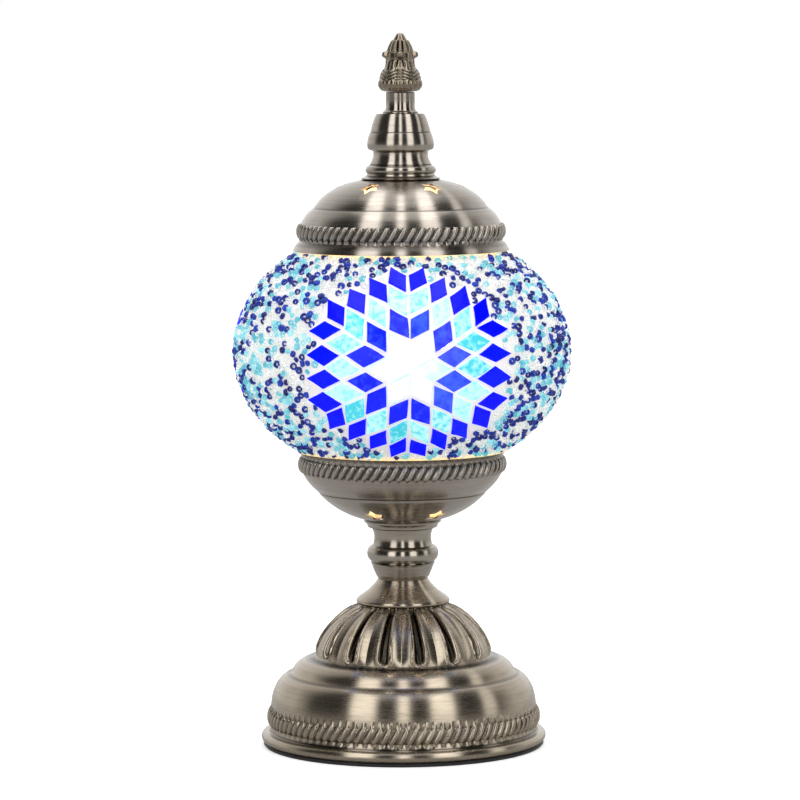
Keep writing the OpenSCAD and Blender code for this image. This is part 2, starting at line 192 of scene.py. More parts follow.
def lathe(
    name: str,
    rows: Grid,
    lining_from: int | None = None,
    hollow: Grid | None = None,
) -> Piece:
    """Joins rings of points, stacked along a closed outline, into one closed shell.

    Args:
        name: Name of the piece.
        rows: Points as [ring, place on the ring, xyz] in millimetres.
        lining_from: The ring from which faces take the second material.
        hollow: Painted shade in each point's hollows, from 0 to 1.

    Returns:
        The new object.
    """
    count, around = rows.shape[:2]
    flat = np.arange(count * around).reshape(count, around)
    at_axis = np.hypot(rows[:, :, 0], rows[:, :, 1]).max(axis=1) < 1e-6
    flat[at_axis] = flat[at_axis][:, :1]
    faces = []
    second = []
    for i in range(count):
        here, there = flat[i], flat[(i + 1) % count]
        if at_axis[i] and at_axis[(i + 1) % count]:
            continue
        here_next, there_next = np.roll(here, -1), np.roll(there, -1)
        if at_axis[i]:
            ring = np.column_stack([here, there_next, there])
        elif at_axis[(i + 1) % count]:
            ring = np.column_stack([here, here_next, there])
        else:
            ring = np.column_stack([here, here_next, there_next, there])
        faces.extend(map(tuple, ring.tolist()))
        second.extend([1 if lining_from is not None and i >= lining_from else 0] * around)
    used = np.unique(flat)
    renumber = np.full(count * around, -1)
    renumber[used] = np.arange(len(used))
    faces = [tuple(int(renumber[v]) for v in face) for face in faces]
    piece = make_piece(name, rows.reshape(-1, 3)[used], faces)
    for _ in range(max(second) + 1):
        piece.data.materials.append(None)
    piece.data.polygons.foreach_set("material_index", second)
    # depth carries the painted shade of the hollows, stored below for the metal to darken.
    depth = np.zeros(count * around) if hollow is None else hollow.ravel()
    mark(piece, "hollow", depth[used])
    crease(piece)
    return piece


def spin(line: Outline, around: int, relief: Relief | None = None) -> tuple[Grid, Grid]:
    """Turns an outline round the axis, pressed in or out by a relief.

    Args:
        line: The outline, running upwards on its outer side.
        around: Number of points on a ring.
        relief: Gives the rise, and the painted shade of the hollows, from turn, radius and height.

    Returns:
        The rings of points, and the painted shade in the hollows at each point.
    """
    path = np.array(line, float)
    turn = np.radians(np.arange(around) * 360 / around)
    radius = np.repeat(path[:, :1], around, axis=1)
    height = np.repeat(path[:, 1:], around, axis=1)
    hollow = np.zeros_like(radius)
    if relief is not None:
        rise, hollow = relief(np.broadcast_to(turn, radius.shape), radius, height)
        normal = outward(path)
        radius = radius + rise * normal[:, :1]
        height = height + rise * normal[:, 1:]
    rows = np.stack([radius * np.cos(turn), radius * np.sin(turn), height], axis=2)
    return rows, hollow


def pressed_shell(
    name: str,
    line: Outline,
    wall: float,
    around: int,
    relief: Relief | None = None,
    lead: Outline | None = None,
) -> Piece:
    """Makes a spun sheet whose inside follows the relief of its outside.

    Args:
        name: Name of the piece.
        line: The outer outline, running upwards.
        wall: Thickness of the sheet.
        around: Number of points on a ring.
        relief: Relief pressed into the sheet.
        lead: Solid edge before the sheet starts, on the outer side.

    Returns:
        The new object, with its lining as its second material.
    """
    outer, hollow = spin(line, around, relief)
    normal = outward(np.array(line, float))
    turn = np.radians(np.arange(around) * 360 / around)
    push = np.stack(
        [np.outer(normal[:, 0], np.cos(turn)), np.outer(normal[:, 0], np.sin(turn)),
         np.repeat(normal[:, 1:], around, axis=1)], axis=2)
    keep = sorted(set(range(0, len(line), 2)) | {len(line) - 1})
    inner = (outer - wall * push)[keep][::-1]
    # The second list is painted shade in the hollows: the relief's for the outside, none for the lining.
    rows, depth = [outer, inner], [hollow, np.zeros(inner.shape[:2])]
    if lead:
        edge, plain = spin(lead, around)
        rows.insert(0, edge)
        depth.insert(0, plain)
    stacked = np.concatenate(rows)
    return lathe(name, stacked, stacked.shape[0] - len(keep) - 1, np.concatenate(depth))


def turned(name: str, line: Outline, around: int, *reliefs: Relief) -> Piece:
    """Turns a closed outline into a solid piece.

    Args:
        name: Name of the piece.
        line: The outline.
        around: Number of points on a ring.
        *reliefs: Reliefs carved into it.

    Returns:
        The new object.
    """
    rows, hollow = spin(line, around, both(*reliefs) if reliefs else None)
    return lathe(name, rows, hollow=hollow)


def cut_away(piece: Piece, cutter: Piece, degrees: float = 38.0) -> None:
    """Cuts one closed mesh out of another and keeps the result as a plain mesh.

    Args:
        piece: The piece that is cut.
        cutter: The shape taken away, which is removed.
        degrees: Angle from which its edges are sharp.
    """
    cut = piece.modifiers.new("cut", "BOOLEAN")
    cut.object = cutter
    cut.operation = "DIFFERENCE"
    cut.solver = "MANIFOLD"
    bake_down(piece)
    bpy.data.objects.remove(cutter)
    crease(piece, degrees)


def bake_down(piece: Piece) -> None:
    """Turns a piece and its modifiers into a plain mesh."""
    graph = bpy.context.evaluated_depsgraph_get()
    graph.update()
    mesh = bpy.data.meshes.new_from_object(piece.evaluated_get(graph), depsgraph=graph)
    piece.modifiers.clear()
    old = piece.data
    piece.data = mesh
    mesh.name = piece.name
    bpy.data.meshes.remove(old)


def prism_mesh(name: str, prisms: list[tuple[list[Vector], Vector]]) -> Piece:
    """Makes upright prisms from their lower outlines.

    Args:
        name: Name of the object.
        prisms: A lower outline and the way to the upper one, for each prism.

    Returns:
        One object that holds them all.
    """
    points, faces = [], []
    for outline, way in prisms:
        first, count = len(points), len(outline)
        points.extend([tuple(p) for p in outline] + [tuple(p + way) for p in outline])
        faces.append(tuple(first + i for i in reversed(range(count))))
        faces.append(tuple(first + count + i for i in range(count)))
        for i in range(count):
            j = (i + 1) % count
            faces.append((first + i, first + j, first + count + j, first + count + i))
    return make_piece(name, np.array(points), faces)


# ---- Finishes -------------------------------------------------------------------


class Nodes:
    """Adds nodes to a tree."""

    def __init__(self, tree: bpy.types.NodeTree) -> None:
        """Keeps the tree."""
        self.tree = tree

    def node(self, kind: str, feeds: dict | None = None, **settings: object) -> bpy.types.Node:
        """Adds a node.

        Args:
            kind: Type of the node.
            feeds: What goes into its inputs, a socket or a plain value.
            **settings: Properties of the node.

        Returns:
            The new node.
        """
        made = self.tree.nodes.new(kind)
        for key, value in settings.items():
            setattr(made, key, value)
        for key, value in (feeds or {}).items():
            self.feed(made.inputs[key], value)
        return made

    def feed(self, socket: Socket, value: object) -> None:
        """Links a socket or sets its plain value."""
        if isinstance(value, Socket):
            self.tree.links.new(value, socket)
        else:
            socket.default_value = value

    def sum(self, operation: str, first: object, second: object = 0.0, **settings: object) -> Socket:
        """Works out one sum of two values."""
        return self.node("ShaderNodeMath", {0: first, 1: second}, operation=operation, **settings).outputs[0]

    def axes(self, place: Socket) -> list[Socket]:
        """The three numbers of a place as sockets."""
        return list(self.node("ShaderNodeSeparateXYZ", {0: place}).outputs)


class Bench(Nodes):
    """Builds one material's nodes round its Principled shader."""

    def __init__(self, name: str) -> None:
        """Starts an empty material of that name."""
        self.material = bpy.data.materials.new(name)
        self.material.use_nodes = True
        super().__init__(self.material.node_tree)
        self.shader = self.tree.nodes["Principled BSDF"]
        self.place = self.node("ShaderNodeTexCoord").outputs["Object"]

    def shade(self, **values: object) -> None:
        """Feeds the Principled shader, with inputs named in snake case."""
        names = {socket.name.lower().replace(" ", "_"): socket for socket in self.shader.inputs}
        for key, value in values.items():
            self.feed(names[key], value)

    def grain(self, scale: float, detail: float = 4.0, rough: float = 0.55,
              place: Socket | None = None) -> Socket:
        """Noise of a scale in waves a metre.

        Args:
            scale: Waves a metre.
            detail: Octaves of detail.
            rough: How strong the fine octaves are.
            place: Coordinates, the object's own unless given.

        Returns:
            The noise, from 0 to 1.
        """
        feeds = {"Vector": place or self.place, "Scale": scale, "Detail": detail, "Roughness": rough}
        return self.node("ShaderNodeTexNoise", feeds).outputs["Fac"]

    def spread(self, value: Socket, low: float, high: float, start: float = 0.3,
               stop: float = 0.7) -> Socket:
        """Maps a value between start and stop to low and high.

        Args:
            value: The value to map.
            low: Result at start.
            high: Result at stop.
            start: Lowest value.
            stop: Highest value.

        Returns:
            The mapped value.
        """
        feeds = {0: value, 1: start, 2: stop, 3: low, 4: high}
        return self.node("ShaderNodeMapRange", feeds).outputs[0]

    def blend(self, share: object, first: object, second: object) -> Socket:
        """Mixes two colours.

        Args:
            share: How much of the second there is.
            first: First colour.
            second: Second colour.

        Returns:
            The mixed colour.
        """
        full = [(*c, 1.0) if isinstance(c, tuple) and len(c) == 3 else c for c in (first, second)]
        feeds = {0: share, 6: full[0], 7: full[1]}
        return self.node("ShaderNodeMix", feeds, data_type="RGBA").outputs[2]

    def own(self, name: str) -> Socket:
        """A number stored on the piece's points."""
        return self.node("ShaderNodeAttribute", attribute_name=name).outputs["Fac"]

    def rings(self, drift: float = 45.0) -> Socket:
        """Coordinates whose noise makes rings round the axis, as turning leaves.

        Args:
            drift: How fast the rings change round the axis, in waves a metre.

        Returns:
            The coordinates.
        """
        x, y, z = self.axes(self.place)
        reach = self.sum("SQRT", self.sum("ADD", self.sum("MULTIPLY", x, x), self.sum("MULTIPLY", y, y)))
        slow = self.sum("MULTIPLY", self.sum("ADD", x, self.sum("MULTIPLY", y, 0.6)), drift * MM)
        return self.node("ShaderNodeCombineXYZ", {0: reach, 1: z, 2: slow}).outputs[0]

    def across_turning(self) -> Socket:
        """Direction square to the turning marks, along the surface.

        Returns:
            The direction, in the world's axes.
        """
        x, y, _ = self.axes(self.place)
        way = self.node("ShaderNodeCombineXYZ", {0: self.sum("MULTIPLY", y, -1.0), 1: x, 2: 0.0}).outputs[0]
        world = self.node("ShaderNodeVectorTransform", {0: way}, vector_type="VECTOR",
                          convert_from="OBJECT", convert_to="WORLD").outputs[0]
        normal = self.node("ShaderNodeNewGeometry").outputs["Normal"]
        return self.node("ShaderNodeVectorMath", {0: normal, 1: world}, operation="CROSS_PRODUCT").outputs[0]

    def dent(self, height: Socket, strength: float, depth: float) -> None:
        """Bumps the surface by a height over a depth in millimetres."""
        feeds = {"Height": height, "Strength": strength, "Distance": depth * MM}
        self.shade(normal=self.node("ShaderNodeBump", feeds).outputs[0])


@dataclass(frozen=True)
class Mottled:
    """A plain stuff with uneven colour, gloss and grain."""

    name: str
    colour: Colour
    second: Colour
    roughness: float = 0.5
    metallic: float = 0.0
    patches: float = 120.0
    grain: float = 1400.0
    depth: float = 0.12
    coat: float = 0.0

    def make(self) -> Material:
        """Makes the material."""
        bench = Bench(self.name)
        patch, fine = bench.grain(self.patches), bench.grain(self.grain)
        bench.shade(
            base_color=bench.blend(bench.spread(patch, 0, 1), self.colour, self.second),
            roughness=bench.spread(fine, self.roughness - 0.1, self.roughness + 0.1),
            metallic=self.metallic, coat_weight=self.coat)
        bench.dent(fine, 0.35, self.depth)
        return bench.material


@dataclass(frozen=True)
class TurnedMetal:
    """Metal plated and brushed in the lathe, with patches of patina, and painted shade darkening its hollows.
    """

    name: str
    colour: Colour
    patina: Colour
    # Near-black colour of the painted shade in the hollows.
    dark: Colour = (0.016, 0.014, 0.012)
    roughness: float = 0.24
    streak: float = 0.3
    cover: float = 0.35
    relief: float = 0.1
    brushed: float = 0.9

    def make(self) -> Material:
        """Makes the material."""
        bench = Bench(self.name)
        rings = bench.rings()
        fine = bench.grain(2600, 5, 0.7, rings)
        broad = bench.grain(420, 3, 0.6, rings)
        cloud = bench.grain(38, 3)
        wear = bench.sum("MULTIPLY", bench.spread(broad, 0, 1, 0.42, 0.68), bench.spread(cloud, 0.25, 1))
        tone = bench.blend(bench.sum("MULTIPLY", wear, self.cover), self.colour, self.patina)
        line = bench.blend(bench.spread(fine, 0, self.streak, 0.5, 0.72), tone, self.patina)
        # Painted shade: the base colour darkens towards near-black where the hollow attribute is high.
        hollow = bench.own("hollow")
        bench.shade(
            base_color=bench.blend(bench.spread(hollow, 0, 0.92, 0.15, 0.8), line, self.dark),
            roughness=bench.spread(fine, self.roughness - 0.05, self.roughness + 0.09, 0.3, 0.75),
            metallic=1.0, anisotropic=self.brushed, tangent=bench.across_turning())
        bench.dent(fine, self.relief, 0.03)
        return bench.material


@dataclass(frozen=True)
class PaintedGlowGlass:
    """Coloured glass whose emission is painted glow, standing in for the lamp's light behind it."""

    name: str
    colour: Colour
    pale: Colour
    glow: float
    roughness: float = 0.16
    passes: float = 0.5
    ripple: float = 260.0
    streaks: float = 0.5
    depth: float = 0.25
    gloss: float = 0.5

    def make(self) -> Material:
        """Makes the material."""
        bench = Bench(self.name)
        wave = bench.grain(self.ripple, 3, 0.5)
        seed = bench.grain(self.ripple * 3.5, 2, 0.6)
        shade = bench.own("shade")
        streak = bench.sum("MULTIPLY", bench.spread(wave, 0, 1, 0.36, 0.62), self.streaks)
        share = bench.sum("ADD", streak, shade, use_clamp=True)
        tint = bench.blend(share, self.colour, self.pale)
        # Painted glow: the glass emits its own tint, in place of the bulb's light coming through it.
        bench.shade(
            base_color=tint, emission_color=tint, emission_strength=self.glow,
            roughness=bench.spread(seed, self.roughness - 0.06, self.roughness + 0.08),
            transmission_weight=self.passes, ior=1.5, specular_ior_level=self.gloss)
        bench.dent(seed, 0.3, self.depth)
        return bench.material


@dataclass(frozen=True)
class PaintedGlowGrout:
    """White grout whose emission is painted glow, standing in for the light from inside shining through, with
    a painted highlight line near its rims.
    """

    name: str
    colour: Colour
    second: Colour
    glow: float
    middle: float
    reach: float
    # Colour of the painted highlight line near the rims.
    edge: Colour = (0.9, 0.86, 0.78)

    def make(self) -> Material:
        """Makes the material."""
        bench = Bench(self.name)
        patch, fine = bench.grain(150, 5, 0.6), bench.grain(1500, 4, 0.65)
        tint = bench.blend(bench.spread(patch, 0, 1), self.colour, self.second)
        # Painted glow: the emission is strongest at the globe's middle height and fades towards its rims.
        height = bench.axes(bench.place)[2]
        away = bench.sum("ABSOLUTE", bench.sum("SUBTRACT", height, self.middle * MM))
        painted_glow_falloff = bench.spread(away, 1.0, 0.62, 0.2 * self.reach * MM, self.reach * MM)
        painted_glow_share = bench.sum("MULTIPLY", painted_glow_falloff, bench.spread(fine, 0.86, 1.06))
        # Painted highlight: a pale cream line just inside the rims, in both colour and glow.
        rim = bench.spread(away, 0.0, 1.0, (self.reach - 1.3) * MM, (self.reach - 0.8) * MM)
        tint = bench.blend(rim, tint, self.edge)
        bench.shade(
            base_color=tint, emission_color=bench.blend(painted_glow_share, (0.0, 0.0, 0.0), tint),
            emission_strength=self.glow, roughness=bench.spread(fine, 0.55, 0.8))
        bench.dent(fine, 0.6, 0.25)
        return bench.material


@dataclass(frozen=True)
class BlownGlass:
    """Thin clear or frosted glass."""

    name: str
    colour: Colour
    opacity: float
    # Emission: the bulb's real lamp light, and painted glow on the lining.
    glow: float = 0.0
    roughness: float = 0.1

    def make(self) -> Material:
        """Makes the material."""
        bench = Bench(self.name)
        wave = bench.grain(90, 2)
        tint = bench.blend(bench.spread(wave, 0, 0.25), self.colour, WHITE)
        bench.shade(
            base_color=tint, emission_color=tint, emission_strength=self.glow,
            roughness=bench.spread(wave, self.roughness * 0.7, self.roughness * 1.4),
            alpha=self.opacity)
        bench.dent(wave, 0.1, 0.2)
        return bench.material


BASE_METAL = TurnedMetal("antique_bronze", (0.42, 0.36, 0.28), (0.18, 0.14, 0.09), roughness=0.24)
CAP_METAL = TurnedMetal("brushed_bronze", (0.41, 0.37, 0.325), (0.2, 0.165, 0.125), roughness=0.22)
TURNED_METAL = TurnedMetal("turned_bronze", (0.4, 0.36, 0.31), (0.2, 0.165, 0.125), roughness=0.19,
                           brushed=0.8)
SLEEVE_METAL = TurnedMetal("polished_bronze", (0.38, 0.34, 0.29), (0.2, 0.165, 0.125), roughness=0.14,
                           cover=0.2, brushed=0.7)
CAST_METAL = TurnedMetal("aged_bronze", (0.3, 0.255, 0.19), (0.1, 0.085, 0.06), roughness=0.19, streak=0.1,
                         relief=0.02, brushed=0.0)
# Inner faces of the cap, cup and base: an orange sheet with painted glow, standing in for the bulb's light on
# the brass inside.
PAINTED_GLOW_LINING = BlownGlass("brass_lining", (1.0, 0.7, 0.26), 1.0, 0.6, 0.45)
# The grout's glow is painted glow.
GROUT = PaintedGlowGrout("white_grout", (0.88, 0.85, 0.825), (0.82, 0.78, 0.755), 0.44, 186.0, 47.0)
# Every tile and bead below gets painted glow from its glow number.
CLEAR_TILE = PaintedGlowGlass("clear_tile", (0.42, 0.84, 0.88), (0.93, 0.99, 1.0), 0.3, 0.2, 0.45, streaks=0.7)
BLUE_TILE = PaintedGlowGlass("blue_tile", (0.0003, 0.0015, 0.82), (0.002, 0.01, 0.95), 0.85, 0.14, 0.12, streaks=0.35,
                     gloss=0.12)
# A paler copy of the blue tile for the ring round the star: its lighter tint is painted light from the bulb's
# hot spot.
HOT_SPOT_BLUE_TILE = PaintedGlowGlass("near_blue_tile", (0.002, 0.01, 0.72), (0.05, 0.12, 0.9), 0.62, 0.16, 0.3,
                          gloss=0.2)
CYAN_TILE = PaintedGlowGlass("cyan_tile", (0.06, 0.6, 0.7), (0.55, 0.92, 0.93), 0.4, 0.2, 0.25, ripple=420.0,
                     streaks=0.9)
DARK_BEAD = PaintedGlowGlass("cobalt_bead", (0.001, 0.008, 0.2), (0.008, 0.06, 0.6), 0.12, 0.07, 0.5)
CYAN_BEAD = PaintedGlowGlass("turquoise_bead", (0.13, 0.5, 0.6), (0.42, 0.78, 0.84), 0.24, 0.07, 0.75)
CLEAR_BEAD = PaintedGlowGlass("clear_bead", (0.8, 0.86, 0.87), (0.95, 0.97, 0.96), 0.12, 0.05, 0.9)
SHADE_GLASS = BlownGlass("clear_glass", (0.86, 0.94, 0.95), 0.14)
BULB_GLASS = BlownGlass("frosted_bulb", (1.0, 0.94, 0.84), 1.0, 7.5, 0.3)
TIN_PLATE = TurnedMetal("tin_plate", (0.7, 0.7, 0.68), (0.45, 0.44, 0.42))


# ---- Studio ---------------------------------------------------------------------


@dataclass
class Studio:
    """Floor, light and camera."""

    floor_radius: float = 30000.0
    floor_sides: int = 96
    floor_in_metal: tuple[float, ...] = (0.58, 0.575, 0.565, 1.0)
    camera_distance: float = 1920.0
    camera_height: float = 339.0
    camera_side: float = -0.9
    camera_pitch: float = 5.25
    camera_roll: float = -0.31
    lens: float = 185.0
    panels: tuple[Point, ...] = (
        (-90, 0.4), (-56, 0.36), (-44, 0.03), (-25, 0.01), (-22.5, 0.95), (-13.5, 0.95), (-11, 0.01),
        (-3.2, 0.005), (-1.5, 1.0), (1.5, 1.0), (3.2, 0.005), (11, 0.01), (13, 0.95), (21.5, 0.95),
        (24, 0.02), (36, 0.02), (38.5, 0.55), (43, 0.55), (46, 0.05), (57, 0.36), (90, 0.4))
    backdrop: tuple[Point, ...] = ((-1, 0), (0.1, 0), (0.45, 0.26), (0.8, 0.42), (1, 0.42))
    panel_light: float = 2.4
    away_light: float = 1.0
    softbox_side: float = 1.6
    softbox_power: float = 7.0
    softbox_place: tuple[float, ...] = (0.0, 0.1, 1.9)

    def build(self) -> None:
        """Sets up the floor, the light and the camera."""
        self.floor()
        self.world()
        self.softbox()
        self.camera()
        bpy.context.scene.view_settings.view_transform = "Standard"

    def floor(self) -> None:
        """Makes the pale floor."""
        rim = arc((0, 0), self.floor_radius, self.floor_radius, 0, 360, self.floor_sides)[:-1]
        floor = make_piece("floor", np.array([(*p, 0.0) for p in rim]), [tuple(range(self.floor_sides))])
        bench = Bench("pale_floor")
        fine = bench.grain(30, 3)
        bench.shade(
            base_color=bench.blend(bench.spread(fine, 0, 1), (0.88, 0.88, 0.88), (0.9, 0.9, 0.9)),
            roughness=0.7, specular_ior_level=0.1, emission_color=(*WHITE, 1.0), emission_strength=0.42)
        dull = bench.node("ShaderNodeBsdfDiffuse", {0: self.floor_in_metal}).outputs[0]
        seen = bench.node("ShaderNodeLightPath").outputs["Is Camera Ray"]
        either = bench.node("ShaderNodeMixShader", {0: seen, 1: dull, 2: bench.shader.outputs[0]}).outputs[0]
        bench.feed(bench.tree.nodes["Material Output"].inputs[0], either)
        floor.data.materials.append(bench.material)

    def world(self) -> None:
        """Lights the lamp from white panels round it, with dark gaps at the front."""
        world = bpy.data.worlds.new("studio")
        world.use_nodes = True
        bpy.context.scene.world = world
        nodes = Nodes(world.node_tree)
        nodes.tree.nodes.clear()
        x, y, _ = nodes.axes(nodes.node("ShaderNodeTexCoord").outputs["Generated"])
        turn = nodes.sum("ARCTAN2", x, nodes.sum("SUBTRACT", 1.0, y))
        strips = self.ramp(nodes, turn, math.pi / 2, [(a / 90, level) for a, level in self.panels])
        behind = self.ramp(nodes, y, 1.0, list(self.backdrop))
        level = nodes.sum("MULTIPLY", nodes.sum("MAXIMUM", strips, behind), self.panel_light)
        white = (*WHITE, 1.0)
        glossy = nodes.node("ShaderNodeBackground", {"Color": white, "Strength": level}).outputs[0]
        plain = nodes.node("ShaderNodeBackground", {"Color": white, "Strength": self.away_light}).outputs[0]
        seen = nodes.node("ShaderNodeLightPath").outputs["Is Camera Ray"]
        mixed = nodes.node("ShaderNodeMixShader", {0: seen, 1: glossy, 2: plain}).outputs[0]
        nodes.node("ShaderNodeOutputWorld", {0: mixed})

    @staticmethod
    def ramp(nodes: Nodes, value: Socket, limit: float, levels: list[Point]) -> Socket:
        """Grey levels along a value that runs from -limit to limit.

        Args:
            nodes: The world's nodes.
            value: The value.
            limit: Its largest size.
            levels: Positions from -1 to 1 with their grey levels.

        Returns:
            The grey level.
        """
        share = nodes.node("ShaderNodeMapRange", {0: value, 1: -limit, 2: limit}).outputs[0]
        ramp = nodes.node("ShaderNodeValToRGB", {0: share})
        stops = ramp.color_ramp.elements
        for place, level in levels:
            at = (place + 1) / 2
            stop = stops[0] if at == 0 else stops[-1] if at == 1 else stops.new(at)
            stop.color = (level, level, level, 1.0)
        return ramp.outputs[0]

    def softbox(self) -> None:
        """Hangs one large soft light over the lamp."""
        lamp = bpy.data.lights.new("softbox", "AREA")
        lamp.shape = "RECTANGLE"
        lamp.size = self.softbox_side
        lamp.size_y = self.softbox_side
        lamp.energy = self.softbox_power
        box = bpy.data.objects.new("softbox", lamp)
        box.location = self.softbox_place
        bpy.context.scene.collection.objects.link(box)

    def camera(self) -> None:
        """Places the camera in front, a little above the globe."""
        lens = bpy.data.cameras.new("camera")
        lens.lens = self.lens
        lens.sensor_width = 36.0
        lens.clip_end = 50.0
        eye = bpy.data.objects.new("camera", lens)
        look = Matrix.Rotation(math.radians(90 - self.camera_pitch), 4, "X")
        roll = Matrix.Rotation(math.radians(self.camera_roll), 4, "Z")
        place = Vector((self.camera_side, -self.camera_distance, self.camera_height)) * MM
        eye.matrix_world = Matrix.Translation(place) @ look @ roll
        bpy.context.scene.collection.objects.link(eye)
        bpy.context.scene.camera = eye


# ---- Reliefs --------------------------------------------------------------------


@dataclass(frozen=True)
class Rope:
    """A band of slanting ridges like a rope's strands."""

    middle: float
    half: float
    count: int
    rise: float
    lean: float
    fill: float = 0.36
    # Strength of the painted shade in the gaps between the strands.
    dark: float = 0.72

    def __call__(self, turn: Grid, radius: Grid, height: Grid) -> Pressed:
        """Rise and painted shade at each point.

        Args:
            turn: Angles round the axis.
            radius: Distances from the axis; not used.
            height: Heights.

        Returns:
            How far each point rises, and the painted shade between the strands.
        """
        along = (height - self.middle) / self.half
        phase = turn * self.count / FULL_TURN - along * self.lean
        across = np.abs(phase - np.round(phase)) / self.fill
        ends = np.sqrt(np.clip(1 - np.clip(np.abs(along) - 0.55, 0, 1) ** 2 / 0.2, 0, 1))
        strand = np.sqrt(np.clip(1 - (across / np.maximum(ends, 0.05)) ** 2, 0, 1)) * (ends > 0.05)
        band = 1 - ramp_up(np.abs(along), 0.85, 1.1)
        # The second number is painted shade in the gaps between the strands.
        return band * (self.rise * strand - 0.25 * self.rise), band * (1 - strand) * self.dark


@dataclass(frozen=True)
class Flutes:
    """Hollows pressed down a dome, with a raised edge on both sides."""

    count: int
    first: float
    low: float
    high: float
    low_half: float
    high_half: float
    depth: float
    lip: float = 0.5
    swell: float = 0.7

    def __call__(self, turn: Grid, radius: Grid, height: Grid) -> Pressed:
        """Rise and painted shade at each point.

        Args:
            turn: Angles round the axis.
            radius: Distances from the axis.
            height: Heights.

        Returns:
            How far each point rises, and the painted shade in the flutes' pits.
        """
        phase = (np.degrees(turn) - FRONT - self.first) * self.count / 360
        aside = phase - np.round(phase)
        x = aside * FULL_TURN / self.count * radius
        climb = np.clip((height - self.low) / (self.high - self.low), 0, 1)
        half = self.low_half + (self.high_half - self.low_half) * climb
        beyond = np.maximum(np.maximum(self.low + half - height, height - self.high + half), 0)
        reach = np.hypot(x, beyond) / half
        pit = 1 - ramp_up(reach, 0.35, 1.0)
        rim = np.exp(-(((reach - 1.22) / 0.2) ** 2))
        leaving = ramp_up(height, self.high - 4, self.high + 1)
        inside = ramp_up(height, self.low - 1, self.low + 4) * (1 - leaving)
        petal = inside * self.swell * (1 - (2 * aside) ** 2)
        edge = self.lip * rim * (inside * 0.7 + 0.3 * (beyond < 3 * half))
        rise = edge - self.depth * pit + petal * (1 - pit)
        near = (height > self.low - 3) & (height < self.high + 3)
        # The pits are returned as painted shade for the metal.
        return rise * near, pit * near


@dataclass(frozen=True)
class Groove:
    """A turned groove, darkened with painted shade."""

    height: float
    half: float = 0.35
    depth: float = 0.15
    # Strength of the painted shade in the groove.
    dark: float = 0.9

    def __call__(self, turn: Grid, radius: Grid, height: Grid) -> Pressed:
        """Rise and painted shade at each point.

        Args:
            turn: Angles round the axis; not used.
            radius: Distances from the axis; not used.
            height: Heights.

        Returns:
            How far each point rises, and the painted shade in the groove.
        """
        near = np.exp(-(((height - self.height) / self.half) ** 2))
        return -self.depth * near, self.dark * near


def both(*reliefs: Relief) -> Relief:
    """Joins reliefs into one.

    Args:
        *reliefs: The reliefs to add up.

    Returns:
        A relief that rises as far as all of them together.
    """

    def press(turn: Grid, radius: Grid, height: Grid) -> Pressed:
        """Adds the rises and keeps the darkest painted shade."""
        parts = [relief(turn, radius, height) for relief in reliefs]
        return sum(p[0] for p in parts), np.maximum.reduce([p[1] for p in parts])

    return press


def star_prisms(count: int, reach: float, height: float, slope: float, first: float) -> list:
    """Star-shaped prisms that stand square on a bowl.

    Args:
        count: Number of stars.
        reach: Distance of their middles from the axis.
        height: Height of their middles.
        slope: Tilt of the bowl there in degrees.
        first: Turn of the first star in degrees.

    Returns:
        Outlines and the ways through, for prism_mesh.
    """
    tip, waist, stretch, depth = 4.9, 0.56, 1.25, 6.0
    prisms = []
    for i in range(count):
        place = (Matrix.Rotation(math.radians(first + i * 360 / count), 4, "Z")
                 @ Matrix.Translation((reach, 0, height)) @ Matrix.Rotation(math.radians(slope), 4, "Y"))
        outline = []
        for k in range(10):
            size = tip if k % 2 == 0 else tip * waist
            angle = math.radians(36 * k)
            outline.append(place @ Vector((stretch * size * math.cos(angle), size * math.sin(angle), -depth)))
        way = place.to_3x3() @ Vector((0, 0, 2 * depth))
        prisms.append((outline, way))
    return prisms


# ---- Sub-assemblies -------------------------------------------------------------


@dataclass
class Assembly:
    """Something that makes pieces and lays them on the model."""

    pieces: list[Piece] = field(default_factory=list)

    def build(self) -> list[Piece]:
        """Makes the sub-assembly and gives its pieces."""
        self.make()
        return self.pieces

    def make(self) -> None:
        """Makes the pieces and lays them on the model."""
        raise NotImplementedError

    def lay(self, piece: Piece, body: Body, slot: str, finishes: list, *nodes: str) -> None:
        """Dresses a finished piece and hangs it on its body.

        Args:
            piece: The finished piece.
            body: Body that it moves with.
            slot: Material slot of the record; not used.
            finishes: Its finishes in the order of their numbers.
            *nodes: CAD nodes that it stands for.
        """
        faces = piece.data.polygons
        numbers = [0] * len(faces)
        faces.foreach_get("material_index", numbers)
        piece.data.materials.clear()
        for finish in finishes:
            piece.data.materials.append(material_of(finish))
        faces.foreach_set("material_index", [min(n, len(finishes) - 1) for n in numbers])
        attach(piece, body.value)
        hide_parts(*nodes)
        self.pieces.append(piece)


_made: dict[str, Material] = {}


def material_of(finish: object) -> Material:
    """The material of a finish, made once."""
    if finish.name not in _made:
        _made[finish.name] = finish.make()
    return _made[finish.name]


